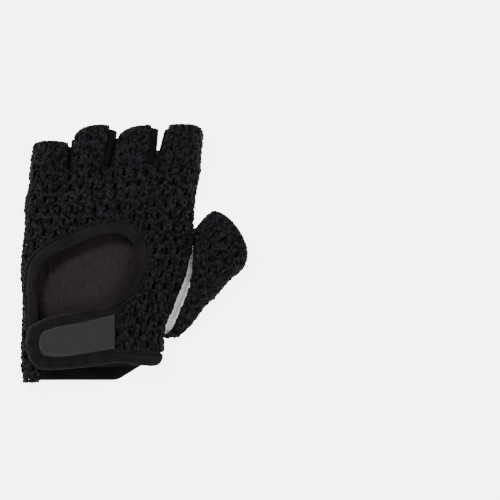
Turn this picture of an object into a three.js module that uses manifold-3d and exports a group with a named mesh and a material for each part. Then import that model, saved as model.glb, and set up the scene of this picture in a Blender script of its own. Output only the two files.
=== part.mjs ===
// A left-hand half-finger weightlifting glove, lying palm down, in millimetres with +Z up.
// Fingers point along +Y, the thumb along +X, and the floor is Z = 0.
// Crocheted back with a keyhole opening, leather palm, knit tape bindings and a wrist strap.
import * as THREE from "three";
import { mergeVertices } from "three/addons/utils/BufferGeometryUtils.js";
import Module from "manifold-3d";

const wasm = await Module();
wasm.setup();

// Driving sizes
const GLOVE_LENGTH = 160.5; // wrist hem to the tip of the index finger
const PALM_WIDTH = 104.6; // across the knuckles, lying flat
const LOFT = 22.5; // height of the back over the knuckles
const CROCHET = 2.5; // thickness of the crocheted yarn
const LEATHER = 1.4;
const LINING = 0.9;
const SIDE_CLOTH = 1.0; // the cloth between two fingers
const SIDE_DIP = 2.2; // how far that cloth ends short of the leather
const PAD = 3.5; // foam and its leather cover on the palm
const SEAM = 0.3; // clearance between pieces that are sewn together
const SIDE_WRAP = 9.5; // how far the crochet turns under, on to the palm side
const THUMB_WRAP = 7.5;
const TAPE = 9.3; // width of the knit tape round the back opening
const TAPE_THICKNESS = 2.8;
const TAPE_PROUD = 0.6; // how far the tape stands above the crochet
const HEM_WIDTH = 7.2; // the tape on the palm's wrist edge
const HEM_THICKNESS = 2.6;
const STRAP_THICKNESS = 2.0;
const PATCH_THICKNESS = 0.9; // the rubber plate on the strap
const HOOK_THICKNESS = 1.3; // the closure under the strap's free end
const GAP_SHARE = 0.62; // side of a gap in the net, as a share of its cell
const FINGER_GAP_ANGLE = 4; // degrees left free along a finger's side seams
const CROTCH_GAP_ANGLE = 16; // and where those seams meet at the crotch

// Sections across the hand. at is a share of GLOVE_LENGTH; left and right are shares of PALM_WIDTH
// from the palm's centre line; top is a share of LOFT; wrap is a share of SIDE_WRAP, thumb side;
// lift is the share of the pad's thickness by which the palm leather stands off the floor.
const HAND = [
  { at: 0.0, left: -0.515, right: 0.3, top: 0.74, wrap: 1.0, lift: 0.1 },
  { at: 0.11, left: -0.527, right: 0.317, top: 0.79, wrap: 0.62, lift: 0.15 },
  { at: 0.18, left: -0.524, right: 0.314, top: 0.82, wrap: 0.1, lift: 0.25 },
  { at: 0.23, left: -0.522, right: 0.328, top: 0.84, wrap: 0.0, lift: 0.5 },
  { at: 0.29, left: -0.518, right: 0.368, top: 0.87, wrap: 0.0, lift: 1.0 },
  { at: 0.36, left: -0.52, right: 0.412, top: 0.9, wrap: 0.0, lift: 1.0 },
  { at: 0.44, left: -0.527, right: 0.455, top: 0.94, wrap: 0.0, lift: 1.0 },
  { at: 0.54, left: -0.514, right: 0.486, top: 0.98, wrap: 0.0, lift: 1.0 },
  { at: 0.63, left: -0.502, right: 0.49, top: 1.0, wrap: 0.3, lift: 1.0 },
  { at: 0.72, left: -0.503, right: 0.502, top: 1.0, wrap: 0.45, lift: 0.9 },
  { at: 0.79, left: -0.484, right: 0.513, top: 0.94, wrap: 0.45, lift: 0.3 },
  { at: 0.86, left: -0.478, right: 0.53, top: 0.85, wrap: 0.45, lift: 0.2 },
];

// Finger tubes. base and tip columns are shares of PALM_WIDTH at the crotch and at the tip; top is
// a share of LOFT; columns counts cells. reach, leather and round are shares of GLOVE_LENGTH: the
// crochet's end, the leather's end and how far either is rounded off from its peak, which is a
// share across the finger. shoulderL and shoulderR are the degrees above its widest line at which
// the crochet ends.
const FINGERS = [
  { baseL: -0.478, baseR: -0.246, tipL: -0.452, tipR: -0.23, top: 0.68, columns: 8 },
  { baseL: -0.234, baseR: -0.008, tipL: -0.223, tipR: 0.044, top: 0.78, columns: 5 },
  { baseL: 0.003, baseR: 0.262, tipL: 0.055, tipR: 0.283, top: 0.8, columns: 5 },
  { baseL: 0.272, baseR: 0.53, tipL: 0.292, tipR: 0.552, top: 0.76, columns: 7 },
];
const FINGER_ENDS = [
  { reach: 0.937, leather: 0.922, round: 0.0215, peak: 0.6, shoulderL: 0, shoulderR: 26 },
  { reach: 0.997, leather: 0.976, round: 0.042, peak: 0.75, shoulderL: 26, shoulderR: 48 },
  { reach: 0.998, leather: 0.984, round: 0.037, peak: 0.9, shoulderL: 26, shoulderR: 48 },
  { reach: 1.0, leather: 0.966, round: 0.037, peak: 0.2, shoulderL: 26, shoulderR: 0 },
];

// The slits between the fingers: side is a share of PALM_WIDTH, at a share of GLOVE_LENGTH.
const CROTCHES = [
  { side: -0.52, at: 0.824 },
  { side: -0.24, at: 0.822 },
  { side: -0.0025, at: 0.832 },
  { side: 0.267, at: 0.852 },
  { side: 0.52, at: 0.85 },
];

// Sections across the thumb, from the tail at the wrist to the open end. The inner columns are the
// edge beside the hand and the outer ones the far side, as shares of PALM_WIDTH and GLOVE_LENGTH;
// top and side are shares of LOFT; wrap is a share of THUMB_WRAP.
const THUMB = [
  { innerX: 0.318, innerY: 0.185, outerX: 0.378, outerY: 0.18, top: 0.34, side: 0.24, wrap: 0.15 },
  { innerX: 0.363, innerY: 0.221, outerX: 0.435, outerY: 0.204, top: 0.41, side: 0.27, wrap: 0.25 },
  { innerX: 0.41, innerY: 0.285, outerX: 0.502, outerY: 0.252, top: 0.48, side: 0.29, wrap: 0.4 },
  { innerX: 0.455, innerY: 0.351, outerX: 0.559, outerY: 0.304, top: 0.55, side: 0.3, wrap: 0.65 },
  { innerX: 0.482, innerY: 0.422, outerX: 0.617, outerY: 0.338, top: 0.61, side: 0.3, wrap: 0.9 },
  { innerX: 0.488, innerY: 0.495, outerX: 0.674, outerY: 0.38, top: 0.65, side: 0.3, wrap: 1.0 },
  { innerX: 0.496, innerY: 0.548, outerX: 0.722, outerY: 0.414, top: 0.68, side: 0.3, wrap: 1.0 },
  { innerX: 0.502, innerY: 0.601, outerX: 0.765, outerY: 0.436, top: 0.7, side: 0.3, wrap: 1.0 },
  { innerX: 0.55, innerY: 0.642, outerX: 0.795, outerY: 0.464, top: 0.7, side: 0.3, wrap: 1.0 },
  { innerX: 0.603, innerY: 0.669, outerX: 0.804, outerY: 0.498, top: 0.7, side: 0.3, wrap: 1.0 },
];

// The thumb's leather: its edge along the palm seam, the crease and the thumb's inner side, as
// shares of PALM_WIDTH and GLOVE_LENGTH, with rise a share of LOFT, and the thumb section that
// each row runs to.
const THUMB_LEATHER = [
  { x: 0.165, y: 0.178, rise: 0.03, section: 0.0 },
  { x: 0.058, y: 0.255, rise: 0.03, section: 0.4 },
  { x: 0.03, y: 0.336, rise: 0.03, section: 1.5 },
  { x: 0.062, y: 0.411, rise: 0.03, section: 2.4 },
  { x: 0.115, y: 0.498, rise: 0.03, section: 3.3 },
  { x: 0.216, y: 0.604, rise: 0.03, section: 4.2 },
  { x: 0.36, y: 0.604, rise: 0.05, section: 5.0 },
  { x: 0.486, y: 0.602, rise: 0.13, section: 5.8 },
  { x: 0.545, y: 0.632, rise: 0.2, section: 6.6 },
  { x: 0.584, y: 0.652, rise: 0.21, section: 7.4 },
];
const THUMB_LEATHER_FLOOR = 0.6; // its underside, above the floor
const THUMB_BULGE = 5.5; // how far the crochet's open end curves out past its last section
const WEB = { from: 1.25, to: 5.3, depth: 2.2 }; // thumb sections that the white web spans

// The back opening's edge: the tape's inner line, as shares of PALM_WIDTH and GLOVE_LENGTH.
const OPENING = [
  { x: -0.418, y: 0.2 },
  { x: -0.432, y: 0.33 },
  { x: -0.433, y: 0.385 },
  { x: -0.42, y: 0.44 },
  { x: -0.335, y: 0.497 },
  { x: -0.22, y: 0.532 },
  { x: -0.1, y: 0.567 },
  { x: 0.005, y: 0.582 },
  { x: 0.095, y: 0.57 },
  { x: 0.147, y: 0.528 },
  { x: 0.155, y: 0.47 },
  { x: 0.118, y: 0.4 },
  { x: 0.06, y: 0.345 },
  { x: 0.0, y: 0.305 },
];

// The strap's long edges from its round end to its root, as shares of PALM_WIDTH and GLOVE_LENGTH.
const STRAP = [
  { x: -0.41, low: 0.059, high: 0.254 },
  { x: -0.26, low: 0.064, high: 0.277 },
  { x: -0.09, low: 0.073, high: 0.294 },
  { x: 0.024, low: 0.088, high: 0.309 },
];
const PATCH = [
  { x: -0.36, low: 0.113, high: 0.214 },
  { x: -0.3, low: 0.107, high: 0.227 },
  { x: -0.138, low: 0.122, high: 0.243 },
  { x: 0.014, low: 0.135, high: 0.264 },
];
const STRAP_END = 0.072; // length of the strap's round end, a share of PALM_WIDTH
const PATCH_END = 0.052;
const HOOK = { left: -0.44, right: -0.3, low: 0.095, high: 0.185 };
const WRIST_HEM = { from: 0.034, low: 0.078, high: 0.138, underAngle: 20 };
const PALM_WRIST = 0.014; // lowest edge of the palm's hem, a share of GLOVE_LENGTH
const PALM_CORNER = 0.06; // rise of that edge at the thumb side
const BACK_WRIST = [0.008, 0.02, 0.141, 0.141, 0.141]; // the crochet's wrist edge, per crotch line

// The palm's pad, row by row; left and right are shares of PALM_WIDTH and sink is the share of PAD
// by which a row's underside is drawn up off the floor by its stitching.
const PALM_PAD = [
  { at: 0.312, left: -0.4, right: 0.0, sink: 0.7 },
  { at: 0.322, left: -0.43, right: 0.004, sink: 0.2 },
  { at: 0.345, left: -0.442, right: 0.008, sink: 0.0 },
  { at: 0.42, left: -0.448, right: 0.04, sink: 0.0 },
  { at: 0.52, left: -0.44, right: 0.105, sink: 0.0 },
  { at: 0.6, left: -0.43, right: 0.185, sink: 0.0 },
  { at: 0.616, left: -0.43, right: 0.21, sink: 0.0 },
  { at: 0.626, left: -0.43, right: 0.42, sink: 0.4 },
  { at: 0.637, left: -0.43, right: 0.426, sink: 0.0 },
  { at: 0.69, left: -0.43, right: 0.43, sink: 0.0 },
  { at: 0.708, left: -0.426, right: 0.426, sink: 0.25 },
  { at: 0.716, left: -0.41, right: 0.41, sink: 0.75 },
];

// The dark lining's right edge, as far as it shows through the back opening, as a share of
// PALM_WIDTH, at shares of GLOVE_LENGTH.
const LINING_ROWS = [
  { at: 0.11, right: 0.19 },
  { at: 0.16, right: 0.22 },
  { at: 0.3, right: 0.24 },
  { at: 0.5, right: 0.32 },
  { at: 0.62, right: 0.4 },
  { at: 0.73, right: 0.42 },
];

const TOP_POWER = 2.5; // squareness of the dome over the hand
const FLOOR_POWER = 3.2; // squareness of the flattened underside
const FINGER_POWER = 2.3;
const SIDE_HEIGHT = 0.42; // height of the widest line, a share of the section's height
const BLEND = 0.13; // length over which the dome turns into fingers, a share of GLOVE_LENGTH
const LEATHER_EDGE = 40; // degrees below the widest line where side cloth meets leather
const PALM_ROWS = 22;
const FINGER_ROWS = 4;
const RAD = Math.PI / 180;
const { lerp } = THREE.MathUtils;
const smooth = (t) => THREE.MathUtils.smoothstep(t, 0, 1);

// One column of a table at a place along it, on a smooth curve through the rows.
function sample(table, at, column, along = "at") {
  const place = (i) => (along === "index" ? i : table[i][along]);
  const last = table.length - 1;
  let i = 0;
  while (i < last - 1 && place(i + 1) < at) i += 1;
  const slope = (k) => {
    const a = Math.max(k - 1, 0);
    const b = Math.min(k + 1, last);
    return (table[b][column] - table[a][column]) / (place(b) - place(a));
  };
  const step = place(i + 1) - place(i);
  const t = THREE.MathUtils.clamp((at - place(i)) / step, 0, 1);
  const [t2, t3] = [t * t, t * t * t];
  return (
    table[i][column] * (2 * t3 - 3 * t2 + 1) +
    table[i + 1][column] * (3 * t2 - 2 * t3) +
    step * (slope(i) * (t3 - 2 * t2 + t) + slope(i + 1) * (t3 - t2))
  );
}

// A cross-section that is a superellipse, flatter below: its widest points are at height side.
function section(left, right, top, side, bottom, power) {
  return { centre: (left + right) / 2, half: (right - left) / 2, top, side, bottom, power };
}

function handSection(y) {
  const at = y / GLOVE_LENGTH;
  const top = sample(HAND, at, "top") * LOFT;
  return section(
    sample(HAND, at, "left") * PALM_WIDTH,
    sample(HAND, at, "right") * PALM_WIDTH,
    top,
    SIDE_HEIGHT * top,
    SEAM + sample(HAND, at, "lift") * PAD,
    TOP_POWER,
  );
}

function fingerSection(f, y) {
  const finger = FINGERS[f];
  const base = Math.max(CROTCHES[f].at, CROTCHES[f + 1].at);
  const t = Math.max((y / GLOVE_LENGTH - base) / (FINGER_ENDS[f].reach - base), 0);
  const top = finger.top * LOFT;
  return section(
    lerp(finger.baseL, finger.tipL, t) * PALM_WIDTH,
    lerp(finger.baseR, finger.tipR, t) * PALM_WIDTH,
    top,
    SIDE_HEIGHT * top,
    handSection(y).bottom,
    FINGER_POWER,
  );
}

// The point of a section at an angle (0 on the right, 90 on top), moved inwards by inset.
function onSection(s, angle, y, inset = 0) {
  const [c, n] = [Math.cos(angle * RAD), Math.sin(angle * RAD)];
  const power = 2 / (n < 0 ? FLOOR_POWER : s.power);
  const height = n < 0 ? s.side - s.bottom : s.top - s.side;
  return new THREE.Vector3(
    s.centre + Math.sign(c) * Math.abs(c) ** power * (s.half - inset),
    y,
    s.side + Math.sign(n) * Math.abs(n) ** power * (height - inset),
  );
}

// The angle below the widest line at which the underside is inset by a distance from the side.
function underAngle(s, distance) {
  return Math.acos((1 - distance / s.half) ** (FLOOR_POWER / 2)) / RAD;
}

// Angles of the crochet's two edges round the hand and round a finger.
function handSeams(y) {
  const s = handSection(y);
  const wrap = Math.max(sample(HAND, y / GLOVE_LENGTH, "wrap"), 0) * SIDE_WRAP;
  return [180 + underAngle(s, SIDE_WRAP), -underAngle(s, wrap)];
}

function fingerSeams(f, y, left = FINGER_ENDS[f].shoulderL, right = FINGER_ENDS[f].shoulderR) {
  const outerSide = underAngle(fingerSection(f, y), SIDE_WRAP * 0.5);
  return [f === 0 ? 180 + outerSide : 180 - left, f === FINGERS.length - 1 ? -outerSide : right];
}

// The dome's angle on the line that runs up to a crotch.
function crotchAngle(i, y) {
  if (i === 0 || i === CROTCHES.length - 1) return handSeams(y)[i === 0 ? 0 : 1];
  const s = handSection(CROTCHES[i].at * GLOVE_LENGTH);
  const share = (CROTCHES[i].side * PALM_WIDTH - s.centre) / s.half;
  const angle = Math.acos(Math.abs(share) ** (TOP_POWER / 2)) / RAD;
  return share < 0 ? 180 - angle : angle;
}

// A point of the back: finger f, share s across it from left to right, at y along the hand.
function backPoint(f, s, y, inset = 0) {
  const crotch = lerp(CROTCHES[f].at, CROTCHES[f + 1].at, s) * GLOVE_LENGTH;
  const dome = onSection(handSection(y), lerp(crotchAngle(f, y), crotchAngle(f + 1, y), s), y, inset);
  const blend = smooth(1 + (y - crotch) / (BLEND * GLOVE_LENGTH));
  const lobe = (g, t) => {
    const [from, to] = fingerSeams(g, y);
    return onSection(fingerSection(g, y), lerp(from, to, t), y, inset);
  };
  if (blend <= 0) return dome;
  if (y <= crotch && s === 0 && f > 0) return dome.lerp(lobe(f - 1, 1).lerp(lobe(f, 0), 0.5), blend);
  if (y <= crotch && s === 1 && f < 3) return dome.lerp(lobe(f, 1).lerp(lobe(f + 1, 0), 0.5), blend);
  return dome.lerp(lobe(f, s), blend);
}

// A point of the palm leather, from the little finger's side (s = 0 of finger 0) to the index.
function palmPoint(f, s, y, inset = 0) {
  const crotch = lerp(CROTCHES[f].at, CROTCHES[f + 1].at, s) * GLOVE_LENGTH;
  const [left, right] = handSeams(y);
  const span = [left + FINGER_GAP_ANGLE / 2, 360 + right - FINGER_GAP_ANGLE / 2];
  const floor = handSection(crotch);
  const place = (i) => {
    if (i === 0) return span[0];
    if (i === FINGERS.length) return span[1];
    const share = (CROTCHES[i].side * PALM_WIDTH - floor.centre) / floor.half;
    const angle = Math.acos(Math.abs(share) ** (FLOOR_POWER / 2)) / RAD;
    return share < 0 ? 180 + angle : 360 - angle;
  };
  const flat = onSection(handSection(y), lerp(place(f), place(f + 1), s), y, inset);
  const blend = smooth(1 + (y - crotch) / (BLEND * GLOVE_LENGTH));
  const lobe = (g, t) => {
    const [a, b] = fingerSeams(g, y, -LEATHER_EDGE, -LEATHER_EDGE);
    const trim = FINGER_GAP_ANGLE / 2;
    return onSection(fingerSection(g, y), lerp(a + trim, 360 + b - trim, t), y, inset);
  };
  if (blend <= 0) return flat;
  if (y <= crotch && s === 0 && f > 0) return flat.lerp(lobe(f - 1, 1).lerp(lobe(f, 0), 0.5), blend);
  if (y <= crotch && s === 1 && f < 3) return flat.lerp(lobe(f, 1).lerp(lobe(f + 1, 0), 0.5), blend);
  return flat.lerp(lobe(f, s), blend);
}

// Height of the palm leather's underside over a plan point.
function palmHeight(x, y, inset = 0) {
  const s = handSection(y);
  const share = Math.min(Math.abs(x - s.centre) / (s.half - inset), 1);
  return s.side - (s.side - s.bottom - inset) * (1 - share ** FLOOR_POWER) ** (1 / FLOOR_POWER);
}

// A cloth-like solid built cell by cell, with an outer and an inner skin joined along its edges.
class Sheet {
  constructor() {
    this.index = new Map();
    this.outer = [];
    this.inner = [];
    this.quads = [];
  }

  point(key, outer, inner) {
    if (!this.index.has(key)) {
      this.index.set(key, this.outer.length);
      this.outer.push(outer);
      this.inner.push(inner);
    }
    return this.index.get(key);
  }

  quad(...corners) {
    this.quads.push(corners);
  }

  // A cell with an opening in its middle.
  framed(share, ...corners) {
    const name = corners.join("-");
    const middle = (skin) =>
      corners.reduce((sum, i) => sum.add(skin[i]), new THREE.Vector3()).multiplyScalar(1 / 4);
    const [outerMiddle, innerMiddle] = [middle(this.outer), middle(this.inner)];
    const rim = corners.map((i, k) =>
      this.point(
        `${name}:${k}`,
        outerMiddle.clone().lerp(this.outer[i], share),
        innerMiddle.clone().lerp(this.inner[i], share),
      ),
    );
    corners.forEach((corner, k) => {
      const next = (k + 1) % corners.length;
      this.quad(corner, corners[next], rim[next], rim[k]);
    });
  }

  geometry() {
    const count = this.outer.length;
    const used = new Set(this.quads.flatMap((q) => q.map((a, k) => `${a}>${q[(k + 1) % 4]}`)));
    const index = [];
    const face = (a, b, c, d) => index.push(a, b, c, a, c, d);
    for (const q of this.quads) {
      face(...q);
      face(...q.map((i) => i + count).reverse());
      q.forEach((a, k) => {
        const b = q[(k + 1) % 4];
        if (!used.has(`${b}>${a}`)) face(b, a, a + count, b + count);
      });
    }
    return new THREE.BufferGeometry().setFromPoints([...this.outer, ...this.inner]).setIndex(index);
  }
}

// A sheet on a plain grid of rows and columns. Rows run up and columns run right, as seen with the
// outer skin towards the eye, or left where it is mirrored.
function gridSheet(rows, columns, outer, inner, mirrored = false, gapAt = () => false) {
  const sheet = new Sheet();
  const corner = (i, j) => {
    const [t, u] = [i / rows, j / columns];
    return sheet.point(`${i}:${j}`, outer(t, u), inner(t, u));
  };
  for (let i = 0; i < rows; i += 1) {
    for (let j = 0; j < columns; j += 1) {
      const around = [corner(i, j), corner(i, j + 1), corner(i + 1, j + 1), corner(i + 1, j)];
      if (mirrored) around.reverse();
      if (gapAt(i, j)) sheet.framed(GAP_SHARE, ...around);
      else sheet.quad(...around);
    }
  }
  return sheet.geometry();
}

// Solids for cuts and joins
function toSolid(geometry) {
  const bare = geometry.clone();
  for (const name of ["normal", "uv"]) bare.deleteAttribute(name);
  const merged = mergeVertices(bare, 1e-4);
  return new wasm.Manifold(
    new wasm.Mesh({
      numProp: 3,
      vertProperties: new Float32Array(merged.attributes.position.array),
      triVerts: new Uint32Array(merged.index.array),
    }),
  );
}

function toGeometry(solid) {
  const mesh = solid.getMesh();
  const position = new THREE.BufferAttribute(new Float32Array(mesh.vertProperties), 3);
  return new THREE.BufferGeometry()
    .setAttribute("position", position)
    .setIndex(new THREE.BufferAttribute(new Uint32Array(mesh.triVerts), 1));
}

// The largest body of a cut solid, without the slivers that a cut leaves beside it.
function mainBody(solid) {
  return solid.decompose().reduce((most, body) => (body.volume() > most.volume() ? body : most));
}

// An upright prism over a plan outline.
function prism(points, low = -LOFT, high = 3 * LOFT) {
  const shape = new THREE.Shape(points);
  const geometry = new THREE.ExtrudeGeometry(shape, { depth: high - low, bevelEnabled: false });
  return toSolid(geometry.translate(0, 0, low));
}

// A smooth plan curve through the rows of a table of shares.
function planCurve(rows, count, x = "x", y = "y") {
  const points = rows.map((r) => new THREE.Vector2(r[x] * PALM_WIDTH, r[y] * GLOVE_LENGTH));
  return new THREE.SplineCurve(points).getPoints(count);
}

// A line moved sideways by a distance; positive is to the left of its direction.
function moved(points, distance) {
  return points.map((p, i) => {
    const a = points[Math.max(i - 1, 0)];
    const b = points[Math.min(i + 1, points.length - 1)];
    const side = new THREE.Vector2(a.y - b.y, b.x - a.x).normalize();
    return p.clone().addScaledVector(side, distance);
  });
}

// A line with both its ends drawn out by a distance.
function extended(points, distance) {
  const out = (a, b) => a.clone().addScaledVector(a.clone().sub(b).normalize(), distance);
  return [out(points[0], points[1]), ...points.slice(1, -1), out(points.at(-1), points.at(-2))];
}

const palmX = (share) => share * PALM_WIDTH;
const alongY = (share) => share * GLOVE_LENGTH;
const openingLine = planCurve(OPENING, 34);

// The crochet's end on a finger, round from side to side.
function fingerEnd(f, s, reach) {
  const { round, peak } = FINGER_ENDS[f];
  return alongY(FINGER_ENDS[f][reach] - round * ((s - peak) / Math.max(peak, 1 - peak)) ** 2);
}

// Adds a comb-shaped panel to a sheet: the hand's rows, then each finger's own.
function combPanel(pointAt, thickness, wristAt, reach, columnsOf, rows, flip, isGap) {
  const sheet = new Sheet();
  const skin = (f, s, y) => [pointAt(f, s, y, 0), pointAt(f, s, y, thickness)];
  const crotchAt = (f, s) => alongY(lerp(CROTCHES[f].at, CROTCHES[f + 1].at, s));
  const rowY = (f, s, i) => {
    if (i <= rows) return lerp(wristAt(f, s), crotchAt(f, s), i / rows);
    return lerp(crotchAt(f, s) + SEAM, fingerEnd(f, s, reach), (i - rows - 1) / (FINGER_ROWS - 1));
  };
  let before = 0;
  FINGERS.forEach((finger, f) => {
    const columns = columnsOf(finger);
    const corner = (i, j) => {
      const key = i <= rows ? `hand:${i}:${before + j}` : `finger${f}:${i}:${j}`;
      return sheet.point(key, ...skin(f, j / columns, rowY(f, j / columns, i)));
    };
    for (let i = 0; i < rows + FINGER_ROWS; i += 1) {
      for (let j = 0; j < columns; j += 1) {
        const around = [corner(i, j), corner(i, j + 1), corner(i + 1, j + 1), corner(i + 1, j)];
        if (flip) around.reverse();
        if (isGap(f, i, before + j, j, columns, sheet.outer[around[0]])) sheet.framed(GAP_SHARE, ...around);
        else sheet.quad(...around);
      }
    }
    before += columns;
  });
  return sheet.geometry();
}

// The back: crochet from side to side, netted, with the keyhole opening cut out.
function crochetBack() {
  const wristAt = (f, s) => alongY(lerp(BACK_WRIST[f], BACK_WRIST[f + 1], s));
  const keepOut = moved(openingLine, TAPE + TAPE_THICKNESS);
  const isGap = (f, i, column, j, columns, at) => {
    if ((i + column) % 2 || i < 2 || i > PALM_ROWS + 1 || j === 0 || j === columns - 1) return false;
    return at.y > alongY(0.16) && !inside(at, keepOut) && !(f === 0 && j < 3) && !(f === 3 && j > 5);
  };
  const panel = combPanel(backPoint, CROCHET, wristAt, "reach", (f) => f.columns, PALM_ROWS, false, isGap);
  const low = alongY(-0.05);
  const cut = [
    new THREE.Vector2(palmX(-0.418), low),
    ...tapeEdge(TAPE / 2),
    new THREE.Vector2(palmX(WRIST_HEM.from), alongY(0.24)),
    new THREE.Vector2(palmX(WRIST_HEM.from), low),
  ];
  const room = backStrip(extended(openingLine, SEAM), -SEAM, TAPE + SEAM, 4, TAPE_PROUD - TAPE_THICKNESS - SEAM, LOFT);
  return toGeometry(
    mainBody(toSolid(panel).subtract(prism(cut, SIDE_HEIGHT * LOFT + SEAM)).subtract(toSolid(room))),
  );
}

// Whether a plan point lies in a closed outline.
function inside(p, outline) {
  let hits = false;
  outline.forEach((a, i) => {
    const b = outline[(i + 1) % outline.length];
    const crosses = a.y > p.y !== b.y > p.y && p.x < ((b.x - a.x) * (p.y - a.y)) / (b.y - a.y) + a.x;
    if (crosses) hits = !hits;
  });
  return hits;
}

// The palm leather with the finger fronts, cut back where the thumb's own piece is sewn on.
const palmWristY = (f, s) => {
  const across = (f + s) / FINGERS.length;
  return alongY(PALM_WRIST + PALM_CORNER * smooth((across - 0.62) / 0.38)) + HEM_WIDTH + SEAM;
};

function thumbCut(extra) {
  const seam = planCurve(THUMB_LEATHER.slice(0, 6), 20);
  const line = moved(seam, extra);
  const right = palmX(1);
  return [
    new THREE.Vector2(right, line[0].y - extra),
    new THREE.Vector2(line[0].x, line[0].y - extra),
    ...line.slice(1),
    new THREE.Vector2(line.at(-1).x, line.at(-1).y + extra),
    new THREE.Vector2(right, line.at(-1).y + extra),
  ];
}

function palmLeather() {
  const none = () => false;
  const panel = combPanel(palmPoint, LEATHER, palmWristY, "leather", () => 4, 14, true, none);
  return toGeometry(toSolid(panel).subtract(prism(thumbCut(3 * SEAM), -LOFT, LOFT * 0.5)));
}

// Height of the back's outer surface over a plan point.
function backHeight(x, y) {
  const s = handSection(y);
  const share = Math.min(Math.abs(x - s.centre) / s.half, 0.992);
  return s.side + (s.top - s.side) * (1 - share ** TOP_POWER) ** (1 / TOP_POWER);
}

// A strip along a plan line, between two sideways distances, lying on the back's surface.
function backStrip(line, from, to, columns, low, high) {
  const edges = Array.from({ length: columns + 1 }, (_, j) => moved(line, lerp(from, to, j / columns)));
  const skin = (lift) => (t, u) => {
    const p = edges[Math.round(u * columns)][Math.round(t * (line.length - 1))];
    const rounded = 1 - 0.3 * (2 * u - 1) ** 4;
    return new THREE.Vector3(p.x, p.y, backHeight(p.x, p.y) + lift * (lift > 0 ? rounded : 1));
  };
  return gridSheet(line.length - 1, columns, skin(high), skin(low), true);
}

const tapeEdge = (distance) => moved(openingLine, distance);

function openingTape() {
  const low = TAPE_PROUD - TAPE_THICKNESS;
  return backStrip(openingLine, 0, TAPE, 4, low, TAPE_PROUD);
}

// A tongue between two long edges with a round left end. lift(x) is the height of its underside
// over the back.
function tongue(table, endLength, columns, rows, lift, thickness) {
  const first = table[0];
  const last = table.at(-1);
  const middle = (first.low + first.high) / 2;
  const at = (t, u) => {
    const x = lerp(first.x - endLength, last.x, t ** 1.35);
    const beyond = Math.min(Math.max((first.x - x) / endLength, 0), 0.97);
    const spread = Math.sqrt(1 - beyond ** 2);
    const low = middle + (sample(table, Math.max(x, first.x), "low", "x") - middle) * spread;
    const high = middle + (sample(table, Math.max(x, first.x), "high", "x") - middle) * spread;
    return [palmX(x), alongY(lerp(low, high, u))];
  };
  const skin = (extra) => (u, t) => {
    const [x, y] = at(t, u);
    return new THREE.Vector3(x, y, backHeight(x, y) + lift(x) + extra);
  };
  return gridSheet(rows, columns, skin(thickness), skin(0));
}

const strapLift = (x) => {
  const root = -STRAP_THICKNESS;
  const over = TAPE_PROUD + HOOK_THICKNESS + 2 * SEAM;
  return lerp(over, root, smooth((x - palmX(-0.3)) / palmX(0.28)));
};

function strap() {
  const plate = tongue(STRAP, STRAP_END, 14, 5, strapLift, STRAP_THICKNESS);
  const clear = [...tapeEdge(-SEAM), ...tapeEdge(TAPE + SEAM).reverse()];
  const open = clear.filter((p) => p.x > palmX(-0.2));
  return toGeometry(toSolid(plate).subtract(prism(open)));
}

function strapPatch() {
  const lift = (x) => strapLift(x) + STRAP_THICKNESS + SEAM / 2;
  return tongue(PATCH, PATCH_END, 12, 3, lift, PATCH_THICKNESS);
}

function strapHook() {
  const at = (t, u) => [palmX(lerp(HOOK.left, HOOK.right, t)), alongY(lerp(HOOK.low, HOOK.high, u))];
  const skin = (lift) => (u, t) => {
    const [x, y] = at(t, u);
    return new THREE.Vector3(x, y, backHeight(x, y) + lift);
  };
  const low = TAPE_PROUD + SEAM;
  return gridSheet(3, 5, skin(low + HOOK_THICKNESS), skin(low));
}

// The tape on the back's wrist edge, from the strap's root round to the underside.
function wristHem() {
  const skin = (inset) => (u, t) => {
    const y = alongY(lerp(WRIST_HEM.low, WRIST_HEM.high, u)) - SEAM;
    const s = handSection(y);
    const share = (palmX(WRIST_HEM.from) + SEAM - s.centre) / s.half;
    const start = Math.acos(share ** (TOP_POWER / 2)) / RAD;
    return onSection(s, lerp(start, -WRIST_HEM.underAngle, t), y, inset);
  };
  return gridSheet(3, 8, skin(-TAPE_PROUD), skin(HEM_THICKNESS - TAPE_PROUD));
}

function palmHem() {
  const skin = (inset) => (u, t) => {
    const f = Math.min(Math.floor(t * 4), 3);
    const share = t * 4 - f;
    return palmPoint(f, share, palmWristY(f, share) - SEAM - HEM_WIDTH * (1 - u), inset);
  };
  return gridSheet(3, 16, skin(0), skin(HEM_THICKNESS), true);
}

// The pad under the palm, with its underside on the floor.
function palmPad() {
  const rows = PALM_PAD.length - 1;
  const columns = 12;
  const across = (u) => (1 - Math.cos(u * Math.PI)) / 2;
  const place = (t, u) => {
    const row = PALM_PAD[Math.round(t * rows)];
    return [lerp(palmX(row.left), palmX(row.right), across(u)), alongY(row.at), row.sink];
  };
  const above = (t, u) => {
    const [x, y] = place(t, u);
    return new THREE.Vector3(x, y, palmHeight(x, y) - 1.5 * SEAM);
  };
  const below = (t, u) => {
    const [x, y, sink] = place(t, u);
    const edge = u < 0.01 || u > 0.99 ? 0.75 : 0;
    return new THREE.Vector3(x, y, Math.max(sink, edge) * (palmHeight(x, y) - 1.5 * SEAM - 0.6));
  };
  return gridSheet(rows, columns, above, below);
}

// The dark lining on the palm's inner face.
function palmLining() {
  const skin = (inset) => (t, u) => {
    const y = alongY(lerp(LINING_ROWS[0].at, LINING_ROWS.at(-1).at, t));
    const s = handSection(y);
    const start = handSeams(y)[0] + 5;
    const share = (palmX(sample(LINING_ROWS, y / GLOVE_LENGTH, "right")) - s.centre) / s.half;
    const end = 360 - Math.acos(share ** (FLOOR_POWER / 2)) / RAD;
    return onSection(s, lerp(start, end, u), y, inset);
  };
  const low = LEATHER + SEAM;
  return gridSheet(11, 10, skin(low + LINING), skin(low));
}

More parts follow.
